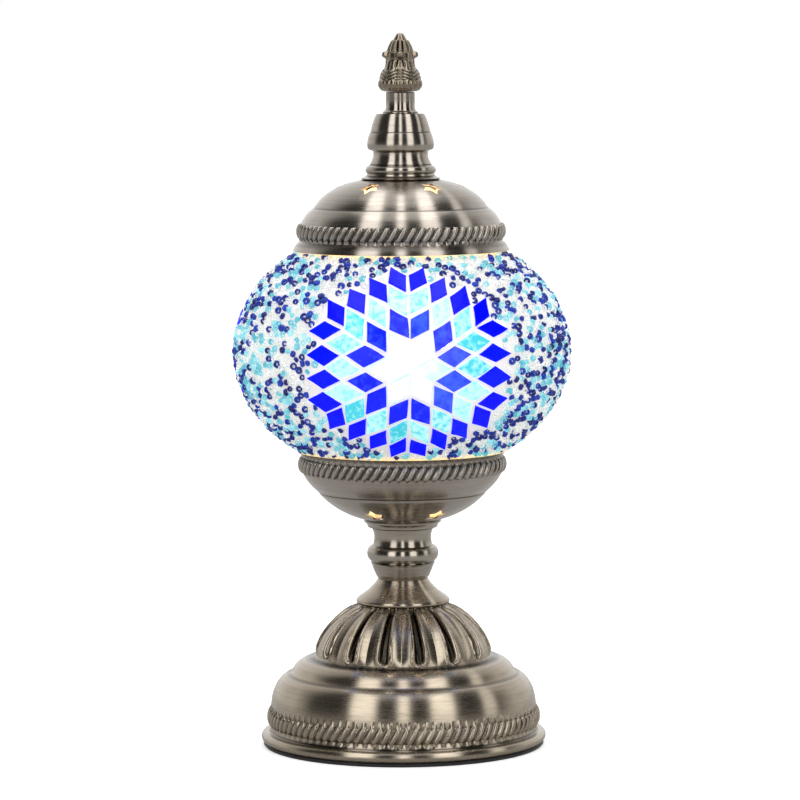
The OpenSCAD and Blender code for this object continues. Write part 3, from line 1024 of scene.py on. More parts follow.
@dataclass
class Base(Assembly):
    """Spun base with a rolled edge, a rope band, a shoulder and a fluted dome."""

    radius: float = 67.0
    top: float = 78.4
    bore: float = 5.2
    edge: float = 2.4
    wall: float = 1.0
    around: int = 720
    flutes: int = 15
    bush_height: float = 22.8
    bush_radius: float = 4.6

    def make(self) -> None:
        """Makes the base."""
        wall_r = self.radius - 4.5
        roll = arc((self.radius - self.edge, 4.2), self.edge, self.edge, -150, 95, 16)
        line = (
            [(wall_r + 0.9, 6.75), (wall_r + 0.5, 7.4), (wall_r + 0.3, 8.6)]
            + arc((wall_r - 0.3, 13.4), 1.6, 3.6, -75, 75, 16)
            + arc((wall_r - 10.5, 18), 10.5, 16, 4, 70, 14)
            + [(wall_r - 8.0, 33.4), (wall_r - 8.8, 34)]
            + arc((wall_r - 22, 32.8), 12.2, 8.8, 14, 78, 8)
            + arc((0, 38), wall_r - 21, 32.3, 8, 57, 34)
            + arc((20.6, 68), 1.4, 1.5, -60, 70, 6)
            + bend((20.4, 70.2), (14.5, 74), (12.3, self.top - 0.8), 8)
            + [(11.7, self.top), (self.bore, self.top)])
        rope = Rope(13.4, 3.9, 96, 0.85, 0.5, 0.34, 0.55)
        flute = Flutes(self.flutes, 10.8, 42.6, 66.6, 2.9, 1.3, 1.7)
        reliefs = [rope, flute]
        reliefs += [Groove(z, half) for z, half in ((7.2, 0.5), (33.7, 0.4), (41.5, 0.75), (67.0, 0.5))]
        shell = pressed_shell("base_skin", line, self.wall, self.around, both(*reliefs), roll)
        hole = arc((0, self.bush_height), self.bush_radius, self.bush_radius, 0, 360, 40)[:-1]
        outline = [Vector((-u, self.radius - 13, v)) for u, v in hole]
        cut_away(shell, prism_mesh("cable_hole", [(outline, Vector((0, 24, 0)))]))
        self.lay(shell, Body.STAND, "antique_bronze", [BASE_METAL, PAINTED_GLOW_LINING], "base_shell")


@dataclass
class Neck(Assembly):
    """Turned neck between base and cup."""

    z: float = 78.4
    height: float = 28.1
    bore: float = 5.2
    around: int = 160

    def make(self) -> None:
        """Makes the neck."""
        z = self.z
        line = (
            [(self.bore, z), (11.6, z), (12.2, z + 1.2)]
            + bend((12.5, z + 1.4), (13.8, z + 4.5), (14.9, z + 7.4), 8)
            + [(15.2, z + 7.7), (15.0, z + 8.1), (14.75, z + 8.5)]
            + arc((13.7, z + 12.1), 3.1, 3.9, -58, 80, 16)
            + bend((14, z + 16.2), (12.6, z + 19.8), (14.3, z + 23.6), 12)
            + [(14.4, z + 24.0), (14.9, z + 24.3), (16.4, z + 24.5)]
            + bend((16.5, z + 25), (16.8, z + 26.4), (18.1, z + 26.9), 6)
            + [(18.3, z + 27.5), (18, z + self.height), (self.bore, z + self.height)])
        grooves = (Groove(z + 8.1, 0.3), Groove(z + 24.2, 0.35), Groove(z + 15.9, 0.3, 0.1, 0.5))
        piece = turned("neck", line, self.around, *grooves)
        self.lay(piece, Body.STAND, "antique_bronze", [TURNED_METAL], "neck_spool")


@dataclass
class Cup(Assembly):
    """Pierced cup with a rope band and a flared lip."""

    z: float = 106.5
    bore: float = 5.2
    wall: float = 1.0
    around: int = 576

    def make(self) -> None:
        """Makes the cup."""
        z = self.z
        line = (
            [(self.bore, z), (17.4, z)]
            + bend((18.4, z + 0.3), (31, z + 3.5), (39, z + 12.4), 14)
            + [(39.3, z + 13), (40, z + 13.5)]
            + bend((40.2, z + 13.9), (44.6, z + 17.4), (46.8, z + 22.2), 9)
            + arc((46.7, z + 26.2), 1.6, 3.1, -70, 70, 16)
            + bend((47.2, z + 29.6), (47.2, z + 31), (49.4, z + 32.6), 7))
        rope = Rope(z + 26.2, 3.5, 72, 1.05, 0.5)
        cup = pressed_shell("cup_skin", line, self.wall, self.around, both(rope, Groove(z + 13.1, 0.35)))
        cut_away(cup, prism_mesh("cup_stars", star_prisms(6, 28, z + 4.6, -37, 3)))
        self.lay(cup, Body.STAND, "antique_bronze", [CAP_METAL, PAINTED_GLOW_LINING], "cup")


@dataclass
class Cap(Assembly):
    """Pierced cap, its turned column and the sleeve under the finial."""

    z: float = 233.0
    top: float = 266.2
    column: float = 30.4
    bore: float = 3.4
    wall: float = 1.0
    around: int = 576
    column_around: int = 160
    sleeve_around: int = 120

    def make(self) -> None:
        """Makes the cap, the column and the sleeve."""
        z = self.z
        line = (
            bend((50.6, z), (50, z + 2.4), (47.4, z + 4.6), 8)
            + arc((46.7, z + 9), 1.6, 3.1, -70, 70, 16)
            + bend((46.8, z + 12.6), (45.2, z + 16.6), (41.6, z + 19.4), 9)
            + [(40.9, z + 19.9), (40.4, z + 20.5)]
            + bend((40.2, z + 20.8), (34.6, z + 29.6), (18.6, z + 32.9), 16)
            + [(17.4, z + 33.2), (self.bore, z + 33.2)])
        rope = Rope(z + 9, 3.5, 72, 1.05, 0.5)
        # The groove 3.2 mm up has no depth: it only paints shade on the flared lip under the rope band.
        grooves = (Groove(z + 20.1, 0.35), Groove(z + 32.9, 0.3), Groove(z + 3.2, 1.3, 0.0, 0.55))
        cap = pressed_shell("cap_skin", line, self.wall, self.around, both(rope, *grooves))
        cut_away(cap, prism_mesh("cap_stars", star_prisms(6, 28, z + 29.6, 30, 0)))
        self.lay(cap, Body.CAP, "antique_bronze", [CAP_METAL, PAINTED_GLOW_LINING], "top_cap")
        self.lay(self.spindle(), Body.CAP, "antique_bronze", [TURNED_METAL], "spindle")
        self.lay(self.sleeve(), Body.SLEEVE, "antique_bronze", [SLEEVE_METAL], "finial_sleeve")

    def spindle(self) -> Piece:
        """Makes the turned column.

        Returns:
            The new object.
        """
        z = self.top
        line = (
            [(self.bore, z), (18.4, z), (18.6, z + 0.4)]
            + bend((18.0, z + 0.7), (16.6, z + 1.2), (15.8, z + 2.2), 6)
            + arc((14.2, z + 4.2), 2.3, 2.2, -50, 75, 10)
            + bend((14.6, z + 6.9), (12.9, z + 9.2), (12.8, z + 11.6), 10)
            + [(12.8, z + 12.6), (13.4, z + 13.2), (14.2, z + 13.5)]
            + bend((15.2, z + 13.9), (16.4, z + 16.4), (14.4, z + 21.6), 14)
            + [(14.1, z + 22.0)]
            + bend((14.0, z + 22.3), (13.4, z + 25.6), (12.0, z + 28.9), 8)
            + [(11.7, z + 29.4), (11.2, z + self.column), (self.bore, z + self.column)])
        grooves = [Groove(z + h, 0.3) for h in (1.6, 6.8, 12.9, 21.9)]
        return turned("column", line, self.column_around, *grooves)

    def sleeve(self) -> Piece:
        """Makes the plain sleeve.

        Returns:
            The new object.
        """
        z = self.top + self.column + 0.1
        line = (
            [(3.1, z), (8.2, z), (8.3, z + 0.6)]
            + bend((8, z + 1), (7, z + 1.3), (6.8, z + 3), 6)
            + [(6.8, z + 6), (6.8, z + 9.6), (6.4, z + 10), (3.1, z + 10)])
        return turned("sleeve", line, self.sleeve_around)


@dataclass
class Finial(Assembly):
    """Cast finial: beaded foot, ridged body, four curled leaf tips and a ribbed bud."""

    z: float = 306.9
    bore: float = 3.05
    thread: float = 11.0
    around: int = 288

    def make(self) -> None:
        """Makes the finial."""
        z = self.z
        line = (
            [(self.bore, z), (7.4, z), (8.6, z + 0.35), (9.2, z + 0.9)]
            + arc((8.4, z + 3.6), 1.6, 2.4, -50, 60, 14)
            + bend((9.3, z + 6.0), (8.8, z + 8.8), (7.6, z + 10), 16)
            + bend((7.1, z + 11.2), (6.4, z + 13.2), (6.1, z + 14.6), 10)
            + bend((6.1, z + 15), (6.2, z + 17.2), (5.6, z + 18.8), 20)
            + bend((5.4, z + 19.6), (4.8, z + 21.6), (3.35, z + 23.5), 16)
            + bend((3.15, z + 23.9), (2.3, z + 25.6), (1.6, z + 26.6), 8)
            + [(0.9, z + 27.0), (0, z + 27.2), (0, z + self.thread), (self.bore, z + self.thread)])
        piece = turned("finial_casting", line, self.around, self.carve)
        self.lay(piece, Body.FINIAL, "aged_bronze", [CAST_METAL], "finial")

    def carve(self, turn: Grid, radius: Grid, height: Grid) -> Pressed:
        """The casting's ornament, from its foot to its bud.

        Args:
            turn: Angles round the axis.
            radius: Distances from the axis.
            height: Heights.

        Returns:
            How far each point rises, and the painted shade in its hollows and under the leaf tips.
        """
        h = height - self.z
        skin = radius > 3.3
        quarter = turn * 4 / FULL_TURN
        aside = np.abs(quarter - np.round(quarter)) * math.pi / 2 * radius
        beads = 0.5 + 0.5 * np.abs(np.cos(turn * 10)) ** 0.6
        foot = ramp_up(h, 0.6, 1.6) * (1 - ramp_up(h, 4.6, 5.4))
        lobes = ramp_up(h, 4.8, 5.6) * (1 - ramp_up(h, 10.6, 11.4))
        grooves = np.abs(np.sin((h - 5.2 + 0.032 * aside * aside) * math.pi / 1.5)) ** 0.7
        rib = np.exp(-((aside / 0.75) ** 2))
        body = np.maximum(grooves, rib * 1.25)
        waist = ramp_up(h, 11.0, 11.6) * (1 - ramp_up(h, 13.6, 14.4))
        stems = np.abs(np.cos(turn * 6)) ** 0.8
        leaf_h = np.exp(-(((h - 17.0) / 1.4) ** 4))
        leaf = leaf_h * np.exp(-((aside / 1.5) ** 4))
        stalk = np.exp(-((aside / 1.2) ** 2)) * ramp_up(h, 12.5, 14.5) * (1 - ramp_up(h, 17.5, 18.5))
        bud = ramp_up(h, 17.6, 19.0) * (1 - 0.6 * ramp_up(h, 25.5, 27.2))
        ribs = np.abs(np.cos(turn * 6)) ** 0.9
        rise = (
            foot * (0.75 * beads - 0.35) + lobes * (0.6 * body - 0.3) + waist * (0.4 * stems - 0.2)
            + 1.9 * leaf + 0.5 * stalk + bud * (0.95 * ribs - 0.45) * ramp_up(radius, 0.2, 2.5))
        # dip is painted shade in the hollows between the beads, lobes, stems and bud ribs.
        dip = (
            foot * (1 - beads) * 0.9 + lobes * (1 - np.clip(body, 0, 1)) + waist * (1 - stems) * 0.8
            + bud * (1 - ribs) * 0.95)
        # under is painted shade below the curled leaf tips.
        under = np.exp(-(((h - 14.7) / 0.6) ** 2)) * np.exp(-((aside / 2.4) ** 2))
        return rise * skin, np.clip(dip + 0.8 * under, 0, 1) * skin


class Mosaic:
    """The surface that the mosaic lies on, and the way its medallions are laid out."""

    half_across = 77.3
    half_up = 57.3
    middle = 186.0
    rim = 46.5
    medallions = 3
    first_turn = 2.7
    centre = 183.5
    pitch = 11.6
    gap = 1.5

    @classmethod
    def start(cls) -> float:
        """Latitude of the medallions' centres, in radians."""
        return math.asin((cls.centre - cls.middle) / cls.half_up)

    @classmethod
    def walk(cls, plane: Point, steps: int = 12) -> Point:
        """Lays a point of a medallion's plane on the surface.

        Args:
            plane: The point, from the medallion's centre.
            steps: Number of steps of the walk.

        Returns:
            Its turn and its latitude in radians.
        """
        heading = math.atan2(plane[1], plane[0])
        step = math.hypot(*plane) / steps
        turn, lat = 0.0, cls.start()
        for _ in range(steps):
            across = cls.half_across * math.cos(lat)
            slope = math.hypot(cls.half_across * math.sin(lat), cls.half_up * math.cos(lat))
            bend_by = step * cls.half_across * math.sin(lat) / slope / across * math.cos(heading)
            turn += step * math.cos(heading) / across
            lat += step * math.sin(heading) / slope
            heading -= bend_by
        return turn, lat

    @classmethod
    def point(cls, turn: float, lat: float) -> tuple[Vector, Vector]:
        """A point of the surface and its outward direction."""
        a, b = cls.half_across, cls.half_up
        spot = Vector((a * math.cos(lat) * math.sin(turn), -a * math.cos(lat) * math.cos(turn),
                       cls.middle + b * math.sin(lat)))
        away = Vector((spot.x / a ** 2, spot.y / a ** 2, (spot.z - cls.middle) / b ** 2))
        return spot, away.normalized()


@dataclass(frozen=True)
class Tile:
    """One hand-cut rhombus of glass: its outline on the globe and its outward direction."""

    outline: tuple[Vector, ...]
    middle: Vector
    away: Vector
    shade: float


@dataclass
class Globe(Assembly):
    """Glass globe with its grout, three star medallions and seed beads."""

    tile_thick: float = 1.6
    seed: int = 11
    cutting: float = 0.3
    skew: float = 3.2
    bow: float = 0.09
    sizes: tuple[float, float] = (0.96, 1.05)
    shades: tuple[float, float] = (-0.45, 0.5)
    rings: tuple[tuple[int, str, str], ...] = (
        (1, "star_tiles", "clear_tile"), (2, "inner_blue_tiles", "blue_tile"),
        (3, "cyan_tiles", "cyan_tile"), (4, "outer_blue_tiles", "blue_tile"))
    bead_spacing: float = 2.85
    bead_radius: float = 1.8
    bead_length: float = 2.2
    bead_bore: float = 0.65
    bead_clearance: float = 1.5
    bead_reach: float = 44.9
    bead_slope: float = 0.97
    bead_shares: tuple[float, float] = (0.37, 0.65)

    def make(self) -> None:
        """Makes the globe."""
        cut = {ring: self.cut_ring(ring) for ring, _, _ in self.rings}
        finishes = {1: CLEAR_TILE, 2: HOT_SPOT_BLUE_TILE, 3: CYAN_TILE, 4: BLUE_TILE}
        for ring, node, slot in self.rings:
            self.lay(self.tile_mesh(node + "_cut", cut[ring]), Body.GLOBE, slot, [finishes[ring]], node)
        every = [tile for tiles in cut.values() for tile in tiles]
        self.lay(self.glass(), Body.GLOBE, "clear_glass", [SHADE_GLASS], "globe_glass")
        self.lay(self.grout(every), Body.GLOBE, "grout", [GROUT], "grout_bed")
        self.beads(self.pieces[:4])

    def cut_ring(self, ring: int) -> list[Tile]:
        """Cuts the tiles of one ring for every medallion.

        Args:
            ring: Number of the ring from the centre.

        Returns:
            The tiles.
        """
        rng = random.Random(self.seed + ring)
        side = Mosaic.pitch - Mosaic.gap / math.sin(math.radians(60))
        tiles = []
        for medallion in range(Mosaic.medallions):
            base_turn = math.radians(Mosaic.first_turn + medallion * 360 / Mosaic.medallions)
            for sector in range(0, 360, 60):
                for place in range(ring):
                    tiles.append(self.cut_tile(ring, place, math.radians(sector), base_turn, side, rng))
        return tiles

    def cut_tile(self, ring: int, place: int, sector: float, base_turn: float, side: float,
                 rng: random.Random) -> Tile:
        """Cuts one tile.

        Args:
            ring: Number of its ring.
            place: Its place in the sector.
            sector: The sector's heading in radians.
            base_turn: The medallion's turn round the globe in radians.
            side: Length of its sides.
            rng: Source of the unevenness.

        Returns:
            The tile.
        """
        along = ring * Mosaic.pitch * math.sqrt(3) / 2
        across = (place - (ring - 1) / 2) * Mosaic.pitch
        c, s = math.cos(sector), math.sin(sector)
        skew = math.radians(rng.uniform(-self.skew, self.skew))
        scale = rng.uniform(*self.sizes)
        tall = side * math.sqrt(3) / 2
        corners = [(tall, 0), (0, side / 2), (-tall, 0), (0, -side / 2)]
        placed = []
        for u, v in corners:
            u, v = scale * u + rng.gauss(0, self.cutting), scale * v + rng.gauss(0, self.cutting)
            u, v = u * math.cos(skew) - v * math.sin(skew), u * math.sin(skew) + v * math.cos(skew)
            u, v = along + u, across + v
            placed.append((u * c - v * s, u * s + v * c))
        outline = []
        for k, (p, q) in enumerate(zip(placed, placed[1:] + placed[:1])):
            bow = rng.gauss(0, self.bow)
            for t in (0.0, 0.34, 0.67):
                side_bow = bow * (t > 0)
                way = (q[0] - p[0], q[1] - p[1])
                size = math.hypot(*way)
                outline.append((p[0] + way[0] * t + way[1] / size * side_bow,
                                p[1] + way[1] * t - way[0] / size * side_bow))
        mid = (sum(p[0] for p in placed) / 4, sum(p[1] for p in placed) / 4)
        turn, lat = Mosaic.walk(mid)
        middle, away = Mosaic.point(turn + base_turn, lat)
        laid = []
        for p in outline:
            turn, lat = Mosaic.walk(p)
            spot, _ = Mosaic.point(turn + base_turn, lat)
            laid.append(spot - away * (spot - middle).dot(away))
        return Tile(tuple(laid), middle, away, rng.uniform(*self.shades))

    def tile_mesh(self, name: str, tiles: list[Tile]) -> Piece:
        """Makes tiles with ground edges as one object.

        Args:
            name: Name of the piece.
            tiles: The tiles.

        Returns:
            The new object.
        """
        points, faces, shades = [], [], []
        for tile in tiles:
            first, count = len(points), len(tile.outline)
            for height, shrink in ((0.06, 0.0), (self.tile_thick - 0.3, 0.0), (self.tile_thick, 0.32)):
                for p in tile.outline:
                    inwards = (tile.middle - p).normalized() * shrink
                    points.append(tuple(p + inwards + tile.away * height))
            points.append(tuple(tile.middle + tile.away * 0.06))
            points.append(tuple(tile.middle + tile.away * (self.tile_thick + 0.07)))
            shades.extend([tile.shade] * (3 * count + 2))
            low, high = first + 3 * count, first + 3 * count + 1
            for i in range(count):
                j = (i + 1) % count
                faces.append((low, first + j, first + i))
                for ring in (0, 1):
                    a, b = first + ring * count, first + (ring + 1) * count
                    faces.append((a + i, a + j, b + j, b + i))
                faces.append((first + 2 * count + i, first + 2 * count + j, high))
        piece = make_piece(name, np.array(points), faces)
        mark(piece, "shade", np.array(shades))
        crease(piece, 30)
        return piece

    def band(self, name: str, out: float, inn: float, low: float, around: int, rows: int,
             relief: Relief | None = None) -> Piece:
        """Makes a band of the globe between two ellipsoids.

        Args:
            name: Name of the piece.
            out: Distance of its outer face from the grouted surface.
            inn: Distance of its inner face.
            low: Height of its rims from the middle.
            around: Number of points on a ring.
            rows: Number of rings on the outer face.
            relief: Relief of the outer face.

        Returns:
            The new object.
        """
        a, b, z = Mosaic.half_across, Mosaic.half_up, Mosaic.middle
        edge = math.degrees(math.asin(low / (b + out)))
        inner_edge = math.degrees(math.asin(low / (b + inn)))
        outer, _ = spin(arc((0, z), a + out, b + out, -edge, edge, rows), around, relief)
        inner, _ = spin(arc((0, z), a + inn, b + inn, inner_edge, -inner_edge, 24), around)
        return lathe(name, np.concatenate([outer, inner]))

    def glass(self) -> Piece:
        """Makes the blown globe."""
        return self.band("blown_globe", -1.0, -3.5, Mosaic.rim, 144, 48)

    def grout(self, tiles: list[Tile]) -> Piece:
        """Makes the grout with a window under each tile.

        Args:
            tiles: Every tile.

        Returns:
            The new object.
        """
        solid = self.tile_mesh("tile_guide", tiles)
        tree = BVHTree.FromPolygons([v.co / MM for v in solid.data.vertices],
                                    [tuple(p.vertices) for p in solid.data.polygons])
        bpy.data.objects.remove(solid)

        def press(turn: Grid, radius: Grid, height: Grid) -> Pressed:
            """Raises the grout between the tiles and roughens it elsewhere."""
            rise = np.zeros_like(radius)
            beyond = 6.0
            for index in np.ndindex(radius.shape):
                spot = Vector((radius[index] * math.cos(turn[index]), radius[index] * math.sin(turn[index]),
                               height[index]))
                far = tree.find_nearest(spot, beyond)[3]
                near = 1 - float(ramp_up(np.array(far if far is not None else beyond), 1.2, 3.2))
                lumps = noise.noise(spot * 0.45) * 0.22 + noise.noise(spot * 1.1) * 0.1
                rise[index] = near * (1.05 + lumps * 0.4) + (1 - near) * (0.55 + lumps)
            edge = ramp_up(Mosaic.rim - np.abs(height - Mosaic.middle), 0.0, 1.2)
            return rise * edge, np.zeros_like(radius)

        grout = self.band("grout_fill", 0.0, -1.0, Mosaic.rim, 400, 96, press)
        prisms = []
        for tile in tiles:
            outline = [p + (p - tile.middle).normalized() * 0.04 - tile.away * 2.4 for p in tile.outline]
            prisms.append((outline, tile.away * 5.0))
        cut_away(grout, prism_mesh("tile_windows", prisms), 50)
        return grout

    def beads(self, tiles: list[Piece]) -> None:
        """Scatters the seed beads round the medallions, one piece for each colour.

        Args:
            tiles: The tile pieces, which the beads keep clear of.
        """
        guide = self.join_copy("bead_guide", tiles)
        dark, cyan = self.bead_shares
        kinds = (("cobalt_beads", DARK_BEAD, 0.0, dark), ("turquoise_beads", CYAN_BEAD, dark, cyan),
                 ("clear_beads", CLEAR_BEAD, cyan, 1.0))
        tree = seed_bead_tree()
        for name, finish, low, high in kinds:
            field_band = self.band(name, 0.25, -0.6, 45.2, 144, 60)
            self.keep_outer(field_band)
            modifier = field_band.modifiers.new("beads", "NODES")
            modifier.node_group = tree
            sockets = {item.name: item.identifier for item in tree.interface.items_tree
                       if item.in_out == "INPUT"}
            values = {
                "Tiles": guide, "Spacing": self.bead_spacing * MM, "Clearance": self.bead_clearance * MM,
                "Bead radius": self.bead_radius * MM, "Bead length": self.bead_length * MM,
                "Bore": self.bead_bore * MM, "Share from": low, "Share to": high, "Seed": self.seed,
                "Material": material_of(finish)}
            for key, value in values.items():
                modifier[sockets[key]] = value
            bake_down(field_band)
            self.lay(field_band, Body.GLOBE, "bead_glass", [finish], "bead_layer")
        bpy.data.objects.remove(guide)

    def keep_outer(self, piece: Piece) -> None:
        """Keeps a band's outer faces, without its rims.

        Args:
            piece: The band.
        """
        mesh = piece.data
        middle = Vector((0, 0, Mosaic.middle * MM))
        kept = [tuple(p.vertices) for p in mesh.polygons
                if p.normal.dot(p.center - middle) > 0 and abs(p.normal.z) < self.bead_slope
                and abs(p.center.z - middle.z) < self.bead_reach * MM]
        spots = [tuple(v.co) for v in mesh.vertices]
        mesh.clear_geometry()
        mesh.from_pydata(spots, [], kept)

    @staticmethod
    def join_copy(name: str, parts: list[Piece]) -> Piece:
        """Joins copies of some meshes into one guide object.

        Args:
            name: Name of the guide.
            parts: Objects whose meshes are joined.

        Returns:
            The guide.
        """
        points, faces = [], []
        for part in parts:
            first = len(points)
            points.extend(tuple(v.co / MM) for v in part.data.vertices)
            faces.extend(tuple(first + i for i in p.vertices) for p in part.data.polygons)
        return make_piece(name, np.array(points), faces)


MOST_BEADS = 900000.0
BEAD_SIDES = 9
BEAD_SECTION_SIDES = 5
BEAD_LIFT = 0.6
BEAD_SIZES = (0.78, 1.12)
BEAD_SHADES = (-0.3, 0.6)
BEAD_LEAN = (1.25, 0.5, 6.283)


def seed_bead_tree() -> bpy.types.NodeTree:
    """Builds the node tree that scatters one colour of seed beads.

    Returns:
        The tree, with named inputs for its sizes and its seed.
    """
    tree = bpy.data.node_groups.new("seed_beads", "GeometryNodeTree")
    kinds = {
        "Geometry": "NodeSocketGeometry", "Tiles": "NodeSocketObject", "Spacing": "NodeSocketFloat",
        "Clearance": "NodeSocketFloat", "Bead radius": "NodeSocketFloat", "Bead length": "NodeSocketFloat",
        "Bore": "NodeSocketFloat", "Share from": "NodeSocketFloat", "Share to": "NodeSocketFloat",
        "Seed": "NodeSocketInt", "Material": "NodeSocketMaterial"}
    for name, kind in kinds.items():
        tree.interface.new_socket(name, in_out="INPUT", socket_type=kind)
    tree.interface.new_socket("Geometry", in_out="OUTPUT", socket_type="NodeSocketGeometry")

    nodes = Nodes(tree)
    node, total = nodes.node, nodes.sum

    def half(first: object, second: object, operation: str = "SUBTRACT") -> Socket:
        """Half of a sum or a difference of two lengths."""
        return total("MULTIPLY", total(operation, first, second), 0.5)

    given = node("NodeGroupInput").outputs
    scatter = node("GeometryNodeDistributePointsOnFaces",
                   {"Mesh": given["Geometry"], "Distance Min": given["Spacing"], "Density Max": MOST_BEADS,
                    "Seed": given["Seed"]}, distribute_method="POISSON")
    tiles = node("GeometryNodeObjectInfo", {"Object": given["Tiles"]}).outputs["Geometry"]
    near = node("GeometryNodeProximity", {0: tiles}, target_element="FACES").outputs["Distance"]
    shut = total("LESS_THAN", near, given["Clearance"])
    clear = node("GeometryNodeDeleteGeometry", {0: scatter.outputs["Points"], 1: shut}, domain="POINT")
    draw = node("FunctionNodeRandomValue", {"Seed": given["Seed"]}, data_type="FLOAT").outputs[1]
    below = total("LESS_THAN", draw, given["Share from"])
    above = total("GREATER_THAN", draw, given["Share to"])
    outside = total("ADD", below, above)
    chosen = node("GeometryNodeDeleteGeometry", {0: clear.outputs[0], 1: outside}, domain="POINT")
    wall = half(given["Bead radius"], given["Bore"])
    path = node("GeometryNodeCurvePrimitiveCircle",
                {"Resolution": BEAD_SIDES, "Radius": half(given["Bead radius"], given["Bore"], "ADD")})
    stretch = node("ShaderNodeCombineXYZ", {0: wall, 1: half(given["Bead length"], 0.0, "ADD"), 2: 1.0})
    ring = node("GeometryNodeCurvePrimitiveCircle", {"Resolution": BEAD_SECTION_SIDES, "Radius": 1.0})
    section = node("GeometryNodeTransform", {"Geometry": ring.outputs[0], "Scale": stretch.outputs[0]})
    bead = node("GeometryNodeCurveToMesh", {0: path.outputs[0], 1: section.outputs[0]})
    least_lean = (-BEAD_LEAN[0], -BEAD_LEAN[1], 0.0)
    lean = node("FunctionNodeRandomValue", {0: least_lean, 1: BEAD_LEAN}, data_type="FLOAT_VECTOR").outputs[0]
    euler = node("FunctionNodeEulerToRotation", {0: lean}).outputs[0]
    stance = node("FunctionNodeRotateRotation", {0: scatter.outputs["Rotation"], 1: euler},
                  rotation_space="LOCAL").outputs[0]
    size = node("FunctionNodeRandomValue", {2: BEAD_SIZES[0], 3: BEAD_SIZES[1], "Seed": 5},
                data_type="FLOAT").outputs[1]
    placed = node("GeometryNodeInstanceOnPoints",
                  {"Points": chosen.outputs[0], "Instance": bead.outputs[0], "Rotation": stance,
                   "Scale": size})
    lift = node("ShaderNodeVectorMath", {0: scatter.outputs["Normal"], "Scale": BEAD_LIFT * MM},
                operation="SCALE").outputs[0]
    raised = node("GeometryNodeSetPosition", {"Geometry": placed.outputs[0], "Offset": lift})
    shade = node("FunctionNodeRandomValue", {2: BEAD_SHADES[0], 3: BEAD_SHADES[1], "Seed": 9},
                 data_type="FLOAT").outputs[1]
    tinted = node("GeometryNodeStoreNamedAttribute",
                  {"Geometry": raised.outputs[0], "Name": "shade", "Value": shade},
                  data_type="FLOAT", domain="INSTANCE")
    real = node("GeometryNodeRealizeInstances", {0: tinted.outputs[0]})
    smooth = node("GeometryNodeSetShadeSmooth", {"Geometry": real.outputs[0]})
    dressed = node("GeometryNodeSetMaterial", {"Geometry": smooth.outputs[0], "Material": given["Material"]})
    node("NodeGroupOutput", {0: dressed.outputs[0]})
    return tree


@dataclass
class Bulb(Assembly):
    """Round bulb with a screw cap."""

    foot: float = 134.0
    neck: float = 158.0
    middle: float = 191.0
    radius: float = 22.5
    thread: float = 6.9
    pitch: float = 2.82
    wall: float = 0.8
    glass_around: int = 96
    cap_around: int = 72

    def make(self) -> None:
        """Makes the bulb's glass and its screw cap."""
        r, c, foot = self.radius, self.middle, self.neck + 0.4
        low = math.radians(38)
        ball_foot = (r * math.cos(low), c - r * math.sin(low))
        outer = (bend((self.thread - 0.5, foot), (10.4, foot + 9), ball_foot, 10)
                 + arc((0, c), r, r, -34, 90, 24))
        thin = r - self.wall
        inner = (arc((0, c), thin, thin, 90, -34, 24)
                 + bend((thin * math.cos(low), c - thin * math.sin(low)), (9.4, foot + 9),
                        (self.thread - 1.4, foot), 10))
        outer[-1], inner[0] = (0.0, c + r), (0.0, c + thin)
        glass = turned("bulb_envelope", outer + inner, self.glass_around)
        self.lay(glass, Body.BULB, "bulb_glass", [BULB_GLASS], "bulb_glass")
        z, neck, side = self.foot + 2.7, self.neck, self.thread
        line = [(5.0, z + 0.4), (5.4, z)]
        line += [(side - 0.4, z + 1.2 + 0.45 * i) for i in range(43)]
        line += [(side, neck), (side + 1.4, neck + 3.2), (side + 1, neck + 3.2), (side - 0.9, neck),
                 (side - 0.9, z + 1.4)]

        def thread(turn: Grid, radius: Grid, height: Grid) -> Pressed:
            """Rolls the thread into the cap, with painted shade in its troughs."""
            inside = (radius > self.thread - 0.6) & (height < self.neck - 1) & (height > z + 1)
            wave = 0.5 + 0.5 * np.cos(turn - height * FULL_TURN / self.pitch)
            return 0.38 * wave * inside, (1 - wave) * inside * 0.6

        cap = turned("bulb_screw_cap", line, self.cap_around, thread)
        self.lay(cap, Body.BULB, "tin_plate", [TIN_PLATE], "bulb_cap")


ZINC = Mottled("zinc_plate", (0.72, 0.73, 0.75), (0.55, 0.56, 0.6), 0.32, 1.0, 140.0, 2200.0, 0.05)
BRASS = Mottled("brass", (0.82, 0.62, 0.28), (0.66, 0.45, 0.17), 0.3, 1.0, 160.0, 2000.0, 0.04)
BLACK_PLASTIC = Mottled("black_plastic", (0.018, 0.018, 0.018), (0.03, 0.03, 0.03), 0.38)
RUBBER = Mottled("black_rubber", (0.012, 0.012, 0.012), (0.028, 0.027, 0.026), 0.5, grain=900.0)
GASKET = Mottled("gasket", (0.82, 0.76, 0.62), (0.72, 0.65, 0.5), 0.65)


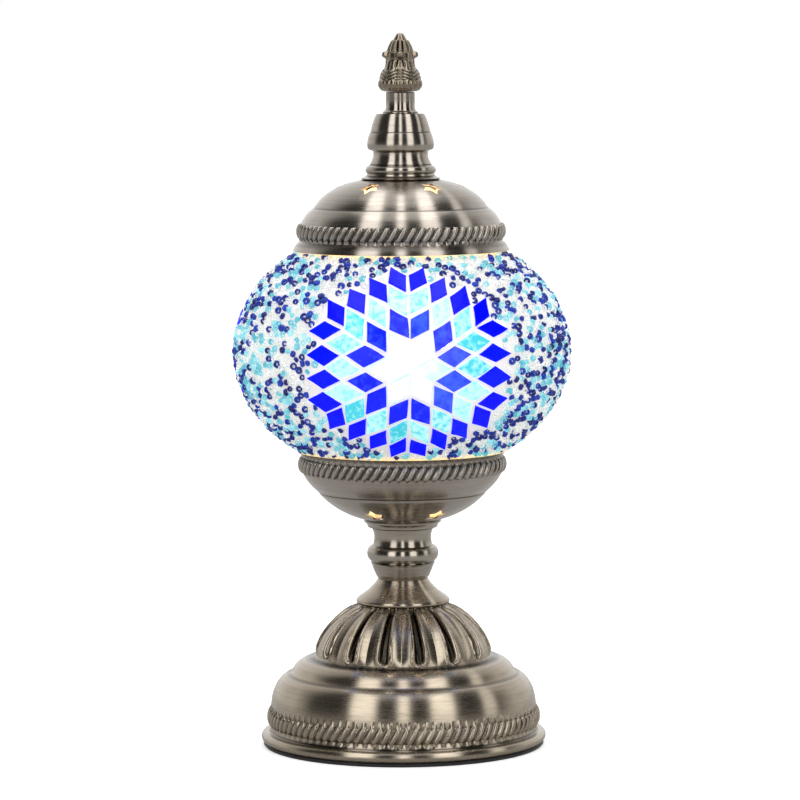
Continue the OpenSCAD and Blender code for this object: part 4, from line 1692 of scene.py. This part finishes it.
@dataclass
class Fittings:
    """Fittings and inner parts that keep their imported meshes."""

    def dress(self) -> None:
        """Gives every fitting its finish."""
        iron = Mottled("cast_iron", (0.09, 0.09, 0.095), (0.15, 0.145, 0.14), 0.65, 0.6, grain=700.0,
                       depth=0.4)
        card = Mottled("cardboard", (0.42, 0.31, 0.19), (0.34, 0.25, 0.15), 0.85, grain=500.0)
        felt = Mottled("felt", (0.02, 0.05, 0.03), (0.035, 0.075, 0.045), 0.95, grain=1800.0, depth=0.5)
        ceramic = Mottled("holder_ceramic", (0.85, 0.82, 0.74), (0.78, 0.74, 0.66), 0.35)
        wire = Mottled("filament", (0.95, 0.8, 0.45), (0.9, 0.7, 0.35), 0.4, 0.5)
        stem = Mottled("stem_glass", (0.85, 0.88, 0.9), (0.75, 0.8, 0.84), 0.12)
        black_glass = Mottled("black_glass", (0.012, 0.012, 0.014), (0.02, 0.02, 0.024), 0.15)
        tip = Mottled("solder", (0.62, 0.62, 0.6), (0.48, 0.48, 0.47), 0.3, 1.0)
        plan = {
            RUBBER: ("foot_ring", "cable_bush"),
            iron: ("ballast_disc",),
            card: ("bottom_card",),
            felt: ("felt_pad",),
            ZINC: ("threaded_tube", "base_washer", "base_nut", "cup_washer", "cup_nut", "harp",
                   "harp_nuts", "stud", "cap_washer"),
            BRASS: ("earth_screw", "earth_washer", "screw_shell", "centre_contact", "terminal_screws"),
            GASKET: ("lower_gasket", "upper_gasket"),
            BLACK_PLASTIC: ("holder_base", "holder_shell"),
            ceramic: ("holder_core",),
            wire: ("bulb_filament",),
            stem: ("bulb_stem",),
            black_glass: ("bulb_insulator",),
            tip: ("bulb_contact",)}
        for finish, names in plan.items():
            for name in names:
                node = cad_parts[name]
                node.data.materials.clear()
                node.data.materials.append(material_of(finish))


def main() -> None:
    """Builds the studio and every sub-assembly, and notes the sizes."""
    logging.basicConfig(level=logging.INFO, format="%(message)s")
    Studio().build()
    Fittings().dress()
    for assembly in (Base(), Neck(), Cup(), Globe(), Bulb(), Cap(), Finial()):
        for piece in assembly.build():
            log.info("%s: %d faces", piece.name, len(piece.data.polygons))


if __name__ == "__main__":
    main()
